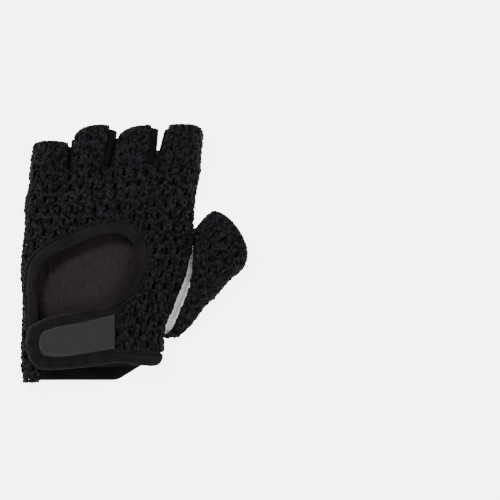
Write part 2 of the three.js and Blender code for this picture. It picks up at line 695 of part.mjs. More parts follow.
// The thumb
function thumbFrame(k) {
  const at = (column) => sample(THUMB, k, column, "index");
  const inner = new THREE.Vector2(palmX(at("innerX")), alongY(at("innerY")));
  const outer = new THREE.Vector2(palmX(at("outerX")), alongY(at("outerY")));
  const width = inner.distanceTo(outer);
  const s = section(0, width, at("top") * LOFT, at("side") * LOFT, THUMB_LEATHER_FLOOR, FINGER_POWER);
  return { inner, outer, width, s, wrap: underAngle(s, Math.max(at("wrap"), 0) * THUMB_WRAP) };
}

function thumbPoint(k, angle, inset) {
  const { inner, outer, s } = thumbFrame(k);
  const p = onSection(s, angle, 0, Math.min(inset, s.half * 0.6));
  const way = outer.clone().sub(inner).normalize();
  return new THREE.Vector3(inner.x + way.x * p.x, inner.y + way.y * p.x, p.z);
}

function thumbCrochet() {
  const skin = (inset) => (t, u) => {
    const k = t * (THUMB.length - 1);
    const { inner, outer, width, wrap } = thumbFrame(k);
    const way = outer.clone().sub(inner).normalize();
    const point = thumbPoint(k, lerp(180, -wrap, u), inset);
    const across = Math.min(Math.hypot(point.x - inner.x, point.y - inner.y) / width, 1);
    const bulge = THUMB_BULGE * smooth((t - 0.6) / 0.4) * (4 * across * (1 - across)) ** 0.6;
    return point.add(new THREE.Vector3(-way.y * bulge, way.x * bulge, 0));
  };
  const gapAt = (i, j) => i > 5 && i < 14 && j > 0 && j < 7 && (i + j) % 2 === 1;
  return gridSheet(15, 9, skin(0), skin(CROCHET), false, gapAt);
}

// The leather under the thumb, from the palm's seam to the crochet's outer edge.
function thumbLeather() {
  const rows = THUMB_LEATHER.length - 1;
  const profile = (d, half) => 1 - (1 - (1 - Math.min(d / half, 1)) ** FLOOR_POWER) ** (1 / FLOOR_POWER);
  const skin = (lift) => (t, u) => {
    const at = (column) => sample(THUMB_LEATHER, t * rows, column, "index");
    const k = at("section");
    const { outer, s, wrap } = thumbFrame(k);
    const edge = thumbPoint(k, -wrap - FINGER_GAP_ANGLE, 0);
    const seam = new THREE.Vector3(palmX(at("x")), alongY(at("y")), 0);
    const trim = lift > 0 ? LEATHER / edge.distanceTo(seam) : 0;
    const across = lerp(0, 1 - trim, (1 - Math.cos(u * Math.PI)) / 2);
    const x = lerp(seam.x, edge.x, across);
    const y = lerp(seam.y, edge.y, across);
    const toEdge = Math.hypot(outer.x - x, outer.y - y);
    const toSeam = Math.hypot(seam.x - x, seam.y - y);
    const low = THUMB_LEATHER_FLOOR;
    const outerRise = profile(toEdge, s.half) * (s.side - low);
    const innerRise = profile(toSeam, s.half) * Math.max(at("rise") * LOFT - low, 0);
    return new THREE.Vector3(x, y, low + outerRise + innerRise + lift);
  };
  return gridSheet(16, 10, skin(LEATHER), skin(0));
}

// The white web between the hand's side and the thumb, seen from above.
function thumbWeb() {
  const path = (t) => {
    const k = lerp(WEB.from, WEB.to, t);
    const { inner, s } = thumbFrame(k);
    const hand = handSection(inner.y);
    const start = new THREE.Vector3(hand.centre + hand.half - 0.5, inner.y, hand.side - SEAM);
    const end = new THREE.Vector3(inner.x + 0.5, inner.y, s.side - SEAM);
    const valley = start.clone().lerp(end, 0.5);
    valley.z = Math.min(end.z, start.z) - WEB.depth * smooth(2 * t);
    return new THREE.CatmullRomCurve3([start, valley, end]);
  };
  const outer = (t, u) => path(t).getPoint(u);
  const inner = (t, u) => {
    const way = path(t).getTangent(u);
    const normal = new THREE.Vector3(-way.z, 0, way.x).normalize();
    return outer(t, u).addScaledVector(normal, -LEATHER);
  };
  return gridSheet(10, 6, outer, inner);
}

// The dark cloth between finger f and the next: down one side, round the crotch, up the other.
function sideCloth(f) {
  const crotch = alongY(CROTCHES[f + 1].at);
  const arm = (g, y, v, inset) => {
    const ends = FINGER_ENDS[g];
    const gap = lerp(CROTCH_GAP_ANGLE, FINGER_GAP_ANGLE, smooth((y - crotch) / SIDE_WRAP));
    const top = (g === f ? ends.shoulderR : ends.shoulderL) - gap;
    const angle = lerp(gap - LEATHER_EDGE, top, v);
    return onSection(fingerSection(g, y), g === f ? angle : 180 - angle, y, inset);
  };
  const skin = (inset) => (v, t) => {
    const g = t < 0.5 ? f : f + 1;
    const share = Math.abs(2 * t - 1);
    const edge = g === f ? 1 : 0;
    const leatherEnd = fingerEnd(g, edge, "leather") - SIDE_DIP;
    const end = lerp(leatherEnd, fingerEnd(g, edge, "reach") - SIDE_CLOTH, v);
    if (share < 0.01) {
      const y = crotch + SEAM;
      return arm(f, y, v, 0).lerp(arm(f + 1, y, v, 0), 0.5).setY(y - inset);
    }
    return arm(g, lerp(crotch + 2 * SEAM, end, (share - 0.2) / 0.8), v, inset);
  };
  return gridSheet(4, 10, skin(0), skin(SIDE_CLOTH), true);
}

const group = new THREE.Group();
const material = (color, roughness) => new THREE.MeshStandardMaterial({ color, roughness, metalness: 0 });
const BLACK_YARN = material(0x17161a, 0.95);
const BLACK_TAPE = material(0x1c1b1f, 0.9);
const WHITE_LEATHER = material(0xeceae6, 0.85);
const DARK_LINING = material(0x29231f, 0.95);
const BLACK_CLOTH = material(0x131214, 0.9);
const GREY_RUBBER = material(0x38383a, 0.6);

function add(name, geometry, finish) {
  const mesh = new THREE.Mesh(geometry, finish);
  mesh.name = name;
  group.add(mesh);
}

add("back_crochet", crochetBack(), BLACK_YARN);
add("thumb_crochet", thumbCrochet(), BLACK_YARN);
add("opening_tape", openingTape(), BLACK_TAPE);
add("strap", strap(), BLACK_TAPE);
add("strap_patch", strapPatch(), GREY_RUBBER);
add("strap_hook", strapHook(), BLACK_CLOTH);
add("wrist_hem", wristHem(), BLACK_TAPE);
add("palm_hem", palmHem(), BLACK_TAPE);
add("palm_leather", palmLeather(), WHITE_LEATHER);
add("palm_pad", palmPad(), WHITE_LEATHER);
add("thumb_leather", thumbLeather(), WHITE_LEATHER);
add("thumb_web", thumbWeb(), WHITE_LEATHER);
add("palm_lining", palmLining(), DARK_LINING);
add("side_ring_little", sideCloth(0), BLACK_CLOTH);
add("side_middle_ring", sideCloth(1), BLACK_CLOTH);
add("side_index_middle", sideCloth(2), BLACK_CLOTH);

// Centre the glove on the origin, with its lowest face on the floor.
const box = new THREE.Box3().setFromObject(group);
const centre = box.getCenter(new THREE.Vector3());
group.position.set(-centre.x, -centre.y, -box.min.z);
export default group;
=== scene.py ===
"""A black crocheted weightlifting glove with a white leather palm, lying palm down.

Lengths in this file are millimetres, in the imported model's frame, until a mesh is made.
"""

from __future__ import annotations

import logging
import math
from dataclasses import dataclass, field
from enum import Enum
from typing import Callable

import bmesh
import bpy
import numpy as np
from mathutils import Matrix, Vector


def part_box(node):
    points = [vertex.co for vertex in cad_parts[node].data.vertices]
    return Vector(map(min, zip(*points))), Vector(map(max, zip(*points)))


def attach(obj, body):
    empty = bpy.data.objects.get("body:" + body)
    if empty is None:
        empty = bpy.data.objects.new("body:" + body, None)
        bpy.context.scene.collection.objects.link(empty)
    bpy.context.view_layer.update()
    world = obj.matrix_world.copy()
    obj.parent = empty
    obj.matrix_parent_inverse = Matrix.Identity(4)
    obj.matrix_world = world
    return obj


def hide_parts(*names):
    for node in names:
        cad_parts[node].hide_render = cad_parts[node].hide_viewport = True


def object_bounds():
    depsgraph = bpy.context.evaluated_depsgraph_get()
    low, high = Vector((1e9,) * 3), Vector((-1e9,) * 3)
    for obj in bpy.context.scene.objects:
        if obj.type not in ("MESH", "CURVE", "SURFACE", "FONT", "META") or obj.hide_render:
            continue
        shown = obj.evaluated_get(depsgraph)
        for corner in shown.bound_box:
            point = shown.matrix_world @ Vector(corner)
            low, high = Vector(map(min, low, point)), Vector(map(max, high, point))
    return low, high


LOG = logging.getLogger("glove")
MM = 0.001
TURN = 2 * math.pi
Array = np.ndarray
HAND_POWER = 2.5  # how square the hand's dome is, where 2 is an ellipse
TUBE_POWER = 2.3  # the same of the finger and thumb tubes
FLOOR_POWER = 3.2  # the same of every underside
WIDEST_AT = 0.42  # the height of the widest line, as a share of the top's
WAVE_LENGTH = 0.314  # how long a wave of Blender's wave texture is at scale 1

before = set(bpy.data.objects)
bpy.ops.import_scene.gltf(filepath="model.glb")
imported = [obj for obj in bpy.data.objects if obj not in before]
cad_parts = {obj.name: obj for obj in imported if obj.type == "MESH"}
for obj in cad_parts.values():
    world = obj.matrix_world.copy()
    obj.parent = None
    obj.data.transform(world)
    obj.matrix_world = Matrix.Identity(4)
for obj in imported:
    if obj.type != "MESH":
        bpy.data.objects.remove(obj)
CAD_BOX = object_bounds()


class Slot(Enum):
    """The record's material slots, named for the scene's own pieces."""

    CROCHET = "crochet_yarn"
    TAPE = "knit_tape"
    LEATHER = "white_leather"
    LINING = "dark_lining"
    SIDE = "side_knit"
    RUBBER = "grey_rubber"


def smooth(t: Array) -> Array:
    """A soft step from 0 to 1."""
    t = np.clip(t, 0.0, 1.0)
    return t * t * (3 - 2 * t)


def unit(vectors: Array) -> Array:
    """The vectors at length 1."""
    return vectors / np.maximum(np.linalg.norm(vectors, axis=-1, keepdims=True), 1e-9)


class Table:
    """Rows of named numbers, read on a smooth curve through them."""

    def __init__(self, names: str, *rows: tuple[float, ...]) -> None:
        """Keep the rows.

        Args:
            names: The columns' names, the first of which is the one the rest is read along.
            rows: The rows' numbers, in the order of the names.
        """
        self.names = names.split()
        self.rows = np.array(rows, float)

    def column(self, name: str) -> Array:
        """One column's numbers."""
        return self.rows[:, self.names.index(name)]

    def value(self, name: str, at: Array) -> Array:
        """A column's value at places along the first column.

        Args:
            name: The column to read.
            at: The places to read it at.

        Returns:
            The values, held at the first and last row beyond the ends.
        """
        place, value = self.rows[:, 0], self.column(name)
        slope = np.gradient(value, place, edge_order=1)
        wide = (value[2:] - value[:-2]) / (place[2:] - place[:-2])
        slope[1:-1] = wide
        at = np.asarray(at, float)
        i = np.clip(np.searchsorted(place, at, side="left") - 1, 0, len(place) - 2)
        step = place[i + 1] - place[i]
        t = np.clip((at - place[i]) / step, 0.0, 1.0)
        t2, t3 = t * t, t * t * t
        return (
            value[i] * (2 * t3 - 3 * t2 + 1)
            + value[i + 1] * (3 * t2 - 2 * t3)
            + step * (slope[i] * (t3 - 2 * t2 + t) + slope[i + 1] * (t3 - t2))
        )


@dataclass
class Section:
    """Cross-sections of a tube, flatter below: superellipses, widest at height side."""

    centre: Array
    half: Array
    top: Array
    side: Array
    bottom: Array
    power: float
    floor_power: float = FLOOR_POWER

    def point(self, angle: Array, y: Array, inset: float = 0.0) -> Array:
        """Points at angles in degrees, 0 on the right and 90 on top, moved inwards by inset."""
        c, n = np.cos(np.radians(angle)), np.sin(np.radians(angle))
        power = 2 / np.where(n < 0, self.floor_power, self.power)
        height = np.where(n < 0, self.side - self.bottom, self.top - self.side)
        x = self.centre + np.sign(c) * np.abs(c) ** power * (self.half - inset)
        z = self.side + np.sign(n) * np.abs(n) ** power * (height - inset)
        return np.stack(np.broadcast_arrays(x, y, z), axis=-1)

    def under(self, distance: Array) -> Array:
        """Degrees below the widest line at which the underside is that far in from the side."""
        share = np.clip(1 - distance / self.half, -1.0, 1.0)
        return np.degrees(np.arccos(share ** (self.floor_power / 2)))


@dataclass
class HandForm:
    """The hand-shaped form on which every piece of the glove lies."""

    length: float = 160.5
    width: float = 104.6
    loft: float = 22.5  # the dome's full height
    leather: float = 1.4
    seam: float = 0.3
    side_wrap: float = 9.5  # how far the crochet is carried under the hand's sides
    finger_wrap: float = 4.75  # the same at the outer fingers' sides
    thumb_wrap: float = 7.5
    pad: float = 3.5
    thumb_floor: float = 0.6
    gap_angle: float = 4.0  # degrees between the crochet's edge and the leather's
    leather_edge: float = 40.0  # degrees below the widest line where side cloth meets leather
    blend: float = 0.13  # the share of the length over which the dome turns into fingers
    crotch_pull: float = 0.12  # the share of a finger's width that is drawn to its neighbour
    steepest: float = 0.992
    draw_from: float = 0.8
    draw_room: float = 0.2
    thumb_end: float = 9.0  # the last row of the thumb's tables
    bow_from: float = 0.6
    bow_power: float = 0.6
    crotch_side: tuple[float, ...] = (-0.52, -0.24, -0.0025, 0.267, 0.52)
    crotch_at: tuple[float, ...] = (0.824, 0.822, 0.832, 0.852, 0.85)
    strap_root: float = 0.024
    wrist_at: float = 0.008

    hand: Table = field(
        default_factory=lambda: Table(
            "at left right top wrap lift",
            (0.0, -0.515, 0.3, 0.74, 1.0, 0.1),
            (0.11, -0.527, 0.317, 0.79, 0.62, 0.15),
            (0.18, -0.524, 0.314, 0.82, 0.1, 0.25),
            (0.23, -0.522, 0.328, 0.84, 0.0, 0.5),
            (0.29, -0.518, 0.368, 0.87, 0.0, 1.0),
            (0.36, -0.52, 0.412, 0.9, 0.0, 1.0),
            (0.44, -0.527, 0.455, 0.94, 0.0, 1.0),
            (0.54, -0.514, 0.486, 0.98, 0.0, 1.0),
            (0.63, -0.502, 0.49, 1.0, 0.3, 1.0),
            (0.72, -0.503, 0.502, 1.0, 0.45, 0.9),
            (0.79, -0.484, 0.513, 0.94, 0.45, 0.3),
            (0.86, -0.478, 0.53, 0.85, 0.45, 0.2),
        )
    )
    fingers: Table = field(
        default_factory=lambda: Table(
            "finger base_l base_r tip_l tip_r top reach leather round peak shoulder_l shoulder_r",
            (0, -0.478, -0.246, -0.452, -0.23, 0.68, 0.937, 0.922, 0.0215, 0.6, 0, 26),
            (1, -0.234, -0.008, -0.223, 0.044, 0.78, 0.997, 0.976, 0.042, 0.75, 26, 48),
            (2, 0.003, 0.262, 0.055, 0.283, 0.8, 0.998, 0.984, 0.037, 0.9, 26, 48),
            (3, 0.272, 0.53, 0.332, 0.552, 0.76, 1.0, 0.966, 0.037, 0.2, 26, 0),
        )
    )
    thumb: Table = field(
        default_factory=lambda: Table(
            "row inner_x inner_y outer_x outer_y top side wrap",
            (0, 0.318, 0.185, 0.378, 0.18, 0.34, 0.24, 0.15),
            (1, 0.363, 0.221, 0.435, 0.204, 0.41, 0.27, 0.25),
            (2, 0.41, 0.285, 0.502, 0.252, 0.48, 0.29, 0.4),
            (3, 0.455, 0.351, 0.559, 0.304, 0.55, 0.3, 0.65),
            (4, 0.482, 0.422, 0.617, 0.338, 0.61, 0.3, 0.9),
            (5, 0.488, 0.495, 0.674, 0.38, 0.65, 0.3, 1.0),
            (6, 0.496, 0.548, 0.722, 0.414, 0.68, 0.3, 1.0),
            (7, 0.502, 0.601, 0.765, 0.436, 0.7, 0.3, 1.0),
            (8, 0.55, 0.642, 0.795, 0.464, 0.7, 0.3, 1.0),
            (9, 0.603, 0.669, 0.804, 0.498, 0.7, 0.3, 1.0),
        )
    )
    thumb_seam: Table = field(
        default_factory=lambda: Table(
            "row x y rise section",
            (0, 0.165, 0.178, 0.03, 0.0),
            (1, 0.058, 0.255, 0.03, 0.4),
            (2, 0.03, 0.336, 0.03, 1.5),
            (3, 0.062, 0.411, 0.03, 2.4),
            (4, 0.115, 0.498, 0.03, 3.3),
            (5, 0.216, 0.604, 0.03, 4.2),
            (6, 0.36, 0.604, 0.05, 5.0),
            (7, 0.486, 0.602, 0.13, 5.8),
            (8, 0.545, 0.632, 0.2, 6.6),
            (9, 0.584, 0.652, 0.21, 7.4),
        )
    )

    def __post_init__(self) -> None:
        """Find where the palm's centre line and the wrist lie in the frame."""
        strap_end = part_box("strap")[1][0] / MM
        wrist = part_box("back_crochet")[0][1] / MM
        self.shift = np.array(
            [strap_end - self.strap_root * self.width, wrist - self.wrist_at * self.length, 0.0]
        )

    def hand_section(self, y: Array) -> Section:
        """The hand's cross-sections at places along it."""
        at = np.asarray(y) / self.length
        left, right = (self.hand.value(n, at) * self.width for n in ("left", "right"))
        top = self.hand.value("top", at) * self.loft
        bottom = self.seam + self.hand.value("lift", at) * self.pad
        return Section((left + right) / 2, (right - left) / 2, top, WIDEST_AT * top, bottom, HAND_POWER)

    def finger(self, f: int, name: str) -> float:
        """One number of a finger's row."""
        return float(self.fingers.column(name)[f])

    def finger_section(self, f: int, y: Array) -> Section:
        """A finger tube's cross-sections at places along it."""
        base = max(self.crotch_at[f], self.crotch_at[f + 1])
        t = np.maximum((np.asarray(y) / self.length - base) / (self.finger(f, "reach") - base), 0.0)
        left, right = (
            (self.finger(f, f"base_{s}") * (1 - t) + self.finger(f, f"tip_{s}") * t) * self.width
            for s in ("l", "r")
        )
        top = np.full_like(t, self.finger(f, "top") * self.loft)
        bottom = self.hand_section(y).bottom
        return Section((left + right) / 2, (right - left) / 2, top, WIDEST_AT * top, bottom, TUBE_POWER)

    def hand_seams(self, y: Array) -> tuple[Array, Array]:
        """Angles of the crochet's two side edges round the hand."""
        section = self.hand_section(y)
        wrap = np.maximum(self.hand.value("wrap", np.asarray(y) / self.length), 0.0) * self.side_wrap
        return 180 + section.under(self.side_wrap), -section.under(wrap)

    def finger_seams(self, f: int, y: Array, left: float, right: float) -> tuple[Array, Array]:
        """Angles of a piece's edges round a finger, at degrees above its widest line."""
        outer = self.finger_section(f, y).under(self.finger_wrap)
        low = 180 + outer if f == 0 else np.full_like(outer, 180 - left)
        high = -outer if f == 3 else np.full_like(outer, right)
        return low, high

    def crotch(self, f: int, s: Array) -> Array:
        """Where the slits begin, along the hand, at shares s across finger f."""
        return (self.crotch_at[f] * (1 - s) + self.crotch_at[f + 1] * s) * self.length

    def mixed(self, f: int, s: Array, y: Array, dome: Array, lobe: Callable) -> Array:
        """The hand's dome turned softly into finger lobes towards the crotch.

        Args:
            f: The finger.
            s: Shares across it.
            y: Places along the hand.
            dome: The hand's points there.
            lobe: Gives a finger's points from its number and shares across it.

        Returns:
            The points between the two.
        """
        crotch = self.crotch(f, s)
        own = lobe(f, s)
        below = (y <= crotch + 1e-6)[..., None]
        for edge, side in ((s, -1), (1 - s, 1)):
            if 0 <= f + side <= 3:
                zero, one = np.zeros_like(s), np.ones_like(s)
                own_edge, next_edge = (zero, one) if side < 0 else (one, zero)
                pair = (lobe(f, own_edge), lobe(f + side, next_edge))
                middle = (pair[0] + pair[1]) / 2
                pull = smooth(1 - edge / self.crotch_pull)[..., None] * below
                own = own + (middle - pair[0]) * pull
        weight = smooth(1 + (y - crotch) / (self.blend * self.length))[..., None]
        return dome * (1 - weight) + own * weight

    def back_point(self, f: int, s: Array, y: Array, inset: float = 0.0) -> Array:
        """Points of the back's surface: finger f, share s across it, y along the hand."""
        section = self.hand_section(y)
        seams = self.hand_seams(y)

        def angle(i: int) -> Array:
            """The dome's angle on the line up to crotch i."""
            if i in (0, 4):
                return seams[i // 4]
            flat = self.hand_section(np.array(self.crotch_at[i] * self.length))
            share = (self.crotch_side[i] * self.width - flat.centre) / flat.half
            found = np.degrees(np.arccos(np.abs(share) ** (HAND_POWER / 2)))
            return np.full_like(y, 180 - found if share < 0 else found)

        def lobe(g: int, t: Array) -> Array:
            """A finger's points."""
            low, high = self.finger_seams(
                g, y, self.finger(g, "shoulder_l"), self.finger(g, "shoulder_r")
            )
            return self.finger_section(g, y).point(low * (1 - t) + high * t, y, inset)

        dome = section.point(angle(f) * (1 - s) + angle(f + 1) * s, y, inset)
        return self.mixed(f, s, y, dome, lobe)

    def palm_point(self, f: int, s: Array, y: Array, inset: float = 0.0) -> Array:
        """Points of the palm leather's outer face, laid out as the back's are."""
        left, right = self.hand_seams(y)
        span = (left + self.gap_angle / 2, 360 + right - self.gap_angle / 2)
        flat = self.hand_section(self.crotch(f, s))

        def angle(i: int) -> Array:
            """The underside's angle on the line up to crotch i."""
            if i in (0, 4):
                return span[i // 4]
            share = (self.crotch_side[i] * self.width - flat.centre) / flat.half
            found = np.degrees(np.arccos(np.abs(share) ** (FLOOR_POWER / 2)))
            return np.where(share < 0, 180 + found, 360 - found)

        def lobe(g: int, t: Array) -> Array:
            """A finger's points."""
            a, b = self.finger_seams(g, y, -self.leather_edge, -self.leather_edge)
            trim = self.gap_angle / 2
            return self.finger_section(g, y).point(
                (a + trim) * (1 - t) + (360 + b - trim) * t, y, inset
            )

        around = angle(f) * (1 - s) + angle(f + 1) * s
        return self.mixed(f, s, y, self.hand_section(y).point(around, y, inset), lobe)

    def back_height(self, x: Array, y: Array) -> Array:
        """The back's height over plan points."""
        section = self.hand_section(y)
        share = np.clip(np.abs(x - section.centre) / section.half, 0.0, self.steepest)
        return section.side + (section.top - section.side) * (1 - share**HAND_POWER) ** (1 / HAND_POWER)

    def palm_height(self, x: Array, y: Array) -> Array:
        """The height of the palm leather's outer face over plan points."""
        section = self.hand_section(y)
        share = np.clip(np.abs(x - section.centre) / section.half, 0.0, 1.0)
        drop = (1 - share**FLOOR_POWER) ** (1 / FLOOR_POWER)
        return section.side - (section.side - section.bottom) * drop

    def held_in(self, plan: Array) -> Array:
        """Plan points with those on the steep sides drawn in towards the hand."""
        section = self.hand_section(plan[..., 1])
        share = (plan[..., 0] - section.centre) / section.half
        over = np.maximum(np.abs(share) - self.draw_from, 0.0)
        drawn = self.draw_from + self.draw_room * np.tanh(over / self.draw_room)
        kept = np.where(over > 0, drawn, np.abs(share))
        return np.stack([section.centre + np.sign(share) * kept * section.half, plan[..., 1]], axis=-1)

    def on_back(self, plan: Array, lift: Array | float) -> Array:
        """Points over the back's surface, with steep sides followed and not overshot.

        Args:
            plan: Plan points.
            lift: How far each stands off the surface, along its normal.

        Returns:
            The points in space.
        """
        x, y = self.held_in(plan)[..., 0], plan[..., 1]
        z = self.back_height(x, y)
        step = 0.5
        slope_x = (self.back_height(x + step, y) - self.back_height(x - step, y)) / (2 * step)
        slope_y = (self.back_height(x, y + step) - self.back_height(x, y - step)) / (2 * step)
        normal = unit(np.stack([-slope_x, -slope_y, np.ones_like(x)], axis=-1))
        return np.stack([x, y, z], axis=-1) + normal * np.broadcast_to(lift, x.shape)[..., None]

    def thumb_frame(self, k: Array) -> tuple[Array, Array, Section, Array]:
        """The thumb's inner and outer edge, cross-sections and wrap at rows k."""
        inner, outer = (
            np.stack(
                [
                    self.thumb.value(f"{side}_x", k) * self.width,
                    self.thumb.value(f"{side}_y", k) * self.length,
                ],
                axis=-1,
            )
            for side in ("inner", "outer")
        )
        width = np.linalg.norm(outer - inner, axis=-1)
        section = Section(
            width / 2,
            width / 2,
            self.thumb.value("top", k) * self.loft,
            self.thumb.value("side", k) * self.loft,
            np.full_like(width, self.thumb_floor),
            TUBE_POWER,
        )
        wrap = np.maximum(self.thumb.value("wrap", k), 0.0) * self.thumb_wrap
        return inner, outer, section, section.under(wrap)

    def thumb_point(self, k: Array, angle: Array, inset: float = 0.0) -> Array:
        """Points round the thumb's tube at rows k."""
        inner, outer, section, _ = self.thumb_frame(k)
        local = section.point(angle, np.zeros_like(k), inset)
        way = unit(outer - inner)
        plan = inner + way * local[..., :1]
        return np.concatenate([plan, local[..., 2:]], axis=-1)

    def thumb_bow(self, k: Array, across: Array, amount: float) -> Array:
        """How far the thumb's open end bows out.

        Args:
            k: Rows along the thumb.
            across: Shares across it.
            amount: The bow in the middle of the end.

        Returns:
            The bow there.
        """
        swell = smooth((k / self.thumb_end - self.bow_from) / (1 - self.bow_from))
        return amount * swell * (4 * across * (1 - across)) ** self.bow_power


class MeshParts:
    """Vertices, faces and surface coordinates gathered for one mesh."""

    def __init__(self, shift: Array) -> None:
        """Start empty.

        Args:
            shift: From the form's own coordinates to the frame's.
        """
        self.shift = shift
        self.points: list[Array] = []
        self.faces: list[Array] = []
        self.coords: list[Array] = []
        self.marks: list[Array] = []
        self.count = 0

    def add(self, points: Array, faces: Array, coords: Array, marks: Array | None = None) -> None:
        """Add some vertices and the quads on them.

        Args:
            points: Vertices, in millimetres.
            faces: Quads that index them.
            coords: Two surface coordinates in millimetres for each corner of each quad.
            marks: The number of each quad's material, 0 if not given.
        """
        self.marks.append(np.zeros(len(faces), np.int32) if marks is None else marks)
        self.points.append(points.reshape(-1, 3))
        self.faces.append(faces.reshape(-1, 4) + self.count)
        self.coords.append(coords.reshape(-1, 2))
        self.count += self.points[-1].shape[0]

    def piece(
        self, name: str, finishes: bpy.types.Material | list[bpy.types.Material], slot: Slot, *nodes: str
    ) -> bpy.types.Object:
        """Make the mesh's object and place it in the frame.

        Args:
            name: The piece's name.
            finishes: Its material, or its materials in the order of their numbers.
            slot: The record's slot for the piece; it is not used.
            nodes: The CAD nodes it stands for.

        Returns:
            The object.
        """
        points = (np.concatenate(self.points) + self.shift) * MM
        points[:, 2] = np.maximum(points[:, 2], 0.0)
        faces = np.concatenate(self.faces)
        mesh = bpy.data.meshes.new(name)
        mesh.vertices.add(len(points))
        mesh.vertices.foreach_set("co", points.astype(np.float32).ravel())
        mesh.loops.add(faces.size)
        mesh.loops.foreach_set("vertex_index", faces.astype(np.int32).ravel())
        mesh.polygons.add(len(faces))
        mesh.polygons.foreach_set("loop_start", np.arange(0, faces.size, 4, dtype=np.int32))
        mesh.polygons.foreach_set("use_smooth", np.ones(len(faces), bool))
        mesh.polygons.foreach_set("material_index", np.concatenate(self.marks).astype(np.int32))
        layer = mesh.uv_layers.new(name="cloth")
        layer.data.foreach_set("uv", np.concatenate(self.coords).astype(np.float32).ravel())
        for finish in finishes if isinstance(finishes, list) else [finishes]:
            mesh.materials.append(finish)
        mesh.update(calc_edges=True)
        mesh.validate()
        obj = bpy.data.objects.new(name, mesh)
        bpy.context.scene.collection.objects.link(obj)
        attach(obj, "root")
        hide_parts(*nodes)
        LOG.info("%s: %d faces", name, len(faces))
        return obj


def distance_along(points: Array) -> Array:
    """Distances along a line to each of its points."""
    steps = np.linalg.norm(np.diff(points, axis=0), axis=-1)
    return np.concatenate([[0.0], np.cumsum(steps)])


def grid_faces(rows: int, columns: int, wrap: bool = False) -> Array:
    """Quads of a grid of points, row by row.

    Args:
        rows: The number of rows of points.
        columns: The number of points in each.
        wrap: Whether each row closes on itself.

    Returns:
        The quads' indices.
    """
    i = np.arange(rows - 1)[:, None]
    j = np.arange(columns if wrap else columns - 1)[None, :]
    k = (j + 1) % columns
    here, above = i * columns, (i + 1) * columns
    quads = np.stack(np.broadcast_arrays(here + j, here + k, above + k, above + j), axis=-1)
    return quads.reshape(-1, 4)


def skin_coords(points: Array) -> Array:
    """Surface coordinates of a grid of points: millimetres across and along it."""
    across = np.linalg.norm(np.diff(points, axis=1), axis=-1)
    along = np.linalg.norm(np.diff(points, axis=0), axis=-1)
    u = np.concatenate([np.zeros((points.shape[0], 1)), np.cumsum(across, axis=1)], axis=1)
    v = np.concatenate([np.zeros((1, points.shape[1])), np.cumsum(along, axis=0)], axis=0)
    return np.stack([u - u.mean(axis=1, keepdims=True), v], axis=-1)


def closed_sheet(parts: MeshParts, outer: Array, inner: Array, inner_mark: int = 0) -> None:
    """Add a sheet between two grids of points, joined round its edges.

    Args:
        parts: What the sheet is added to.
        outer: The outer skin, whose rows and columns turn with it as seen from outside.
        inner: The inner skin, of the same size.
        inner_mark: The number of the inner skin's material.
    """
    rows, columns = outer.shape[:2]
    total = rows * columns
    base = grid_faces(rows, columns)
    i, j = np.arange(rows), np.arange(columns)
    right, top = i[1:] * columns + columns - 1, (rows - 1) * columns + j[::-1][1:]
    rim = np.concatenate([j, right, top, i[::-1][1:] * columns])
    a, b = rim[:-1], rim[1:]
    sides = np.stack([a, a + total, b + total, b], axis=-1)
    faces = np.concatenate([base, base[:, ::-1] + total, sides])
    flat = skin_coords(outer).reshape(-1, 2)
    coords = np.concatenate([flat, flat])[faces]
    marks = np.repeat([0, inner_mark, 0], [len(base), len(base), len(sides)])
    parts.add(np.concatenate([outer.reshape(-1, 3), inner.reshape(-1, 3)]), faces, coords, marks)


def single_sheet(parts: MeshParts, points: Array) -> None:
    """Add one skin on a grid of points, to be thickened later."""
    faces = grid_faces(*points.shape[:2])
    parts.add(points, faces, skin_coords(points).reshape(-1, 2)[faces])


def grid_normals(points: Array) -> Array:
    """Normals of a grid of points, out of the side on which rows turn to columns rightwards."""
    du = np.gradient(points, axis=1)
    dv = np.gradient(points, axis=0)
    return unit(np.cross(du, dv))


def sweep(parts: MeshParts, rings: Array) -> None:
    """Add a tube through closed rings of points, capped with a flat quad strip at both ends.

    Args:
        parts: What it is added to.
        rings: The rings' points, each ring turning clockwise as seen along the way.
    """
    n, m = rings.shape[:2]
    faces = grid_faces(n, m, wrap=True)
    way = distance_along(rings.mean(axis=1))
    turn = distance_along(np.concatenate([rings, rings[:, :1]], axis=1).mean(axis=0))
    if turn[-1] < 1e-6 or m < 8:
        girth = np.linalg.norm(rings - np.roll(rings, 1, axis=1), axis=-1).mean()
        turn = np.arange(m + 1) * girth
    i, j = np.meshgrid(np.arange(n - 1), np.arange(m), indexing="ij")
    coords = np.stack(
        [
            np.stack([turn[j], turn[j + 1], turn[j + 1], turn[j]], axis=-1),
            np.stack([way[i], way[i], way[i + 1], way[i + 1]], axis=-1),
        ],
        axis=-1,
    )
    half = m // 2
    k = np.arange(half - 1)
    cap = np.stack([k, k + 1, m - 2 - k, m - 1 - k], axis=-1)
    caps = np.concatenate([cap[:, ::-1], cap + (n - 1) * m])
    flat = np.zeros((caps.shape[0], 4, 2))
    parts.add(rings, np.concatenate([faces, caps]), np.concatenate([coords.reshape(-1, 4, 2), flat]))


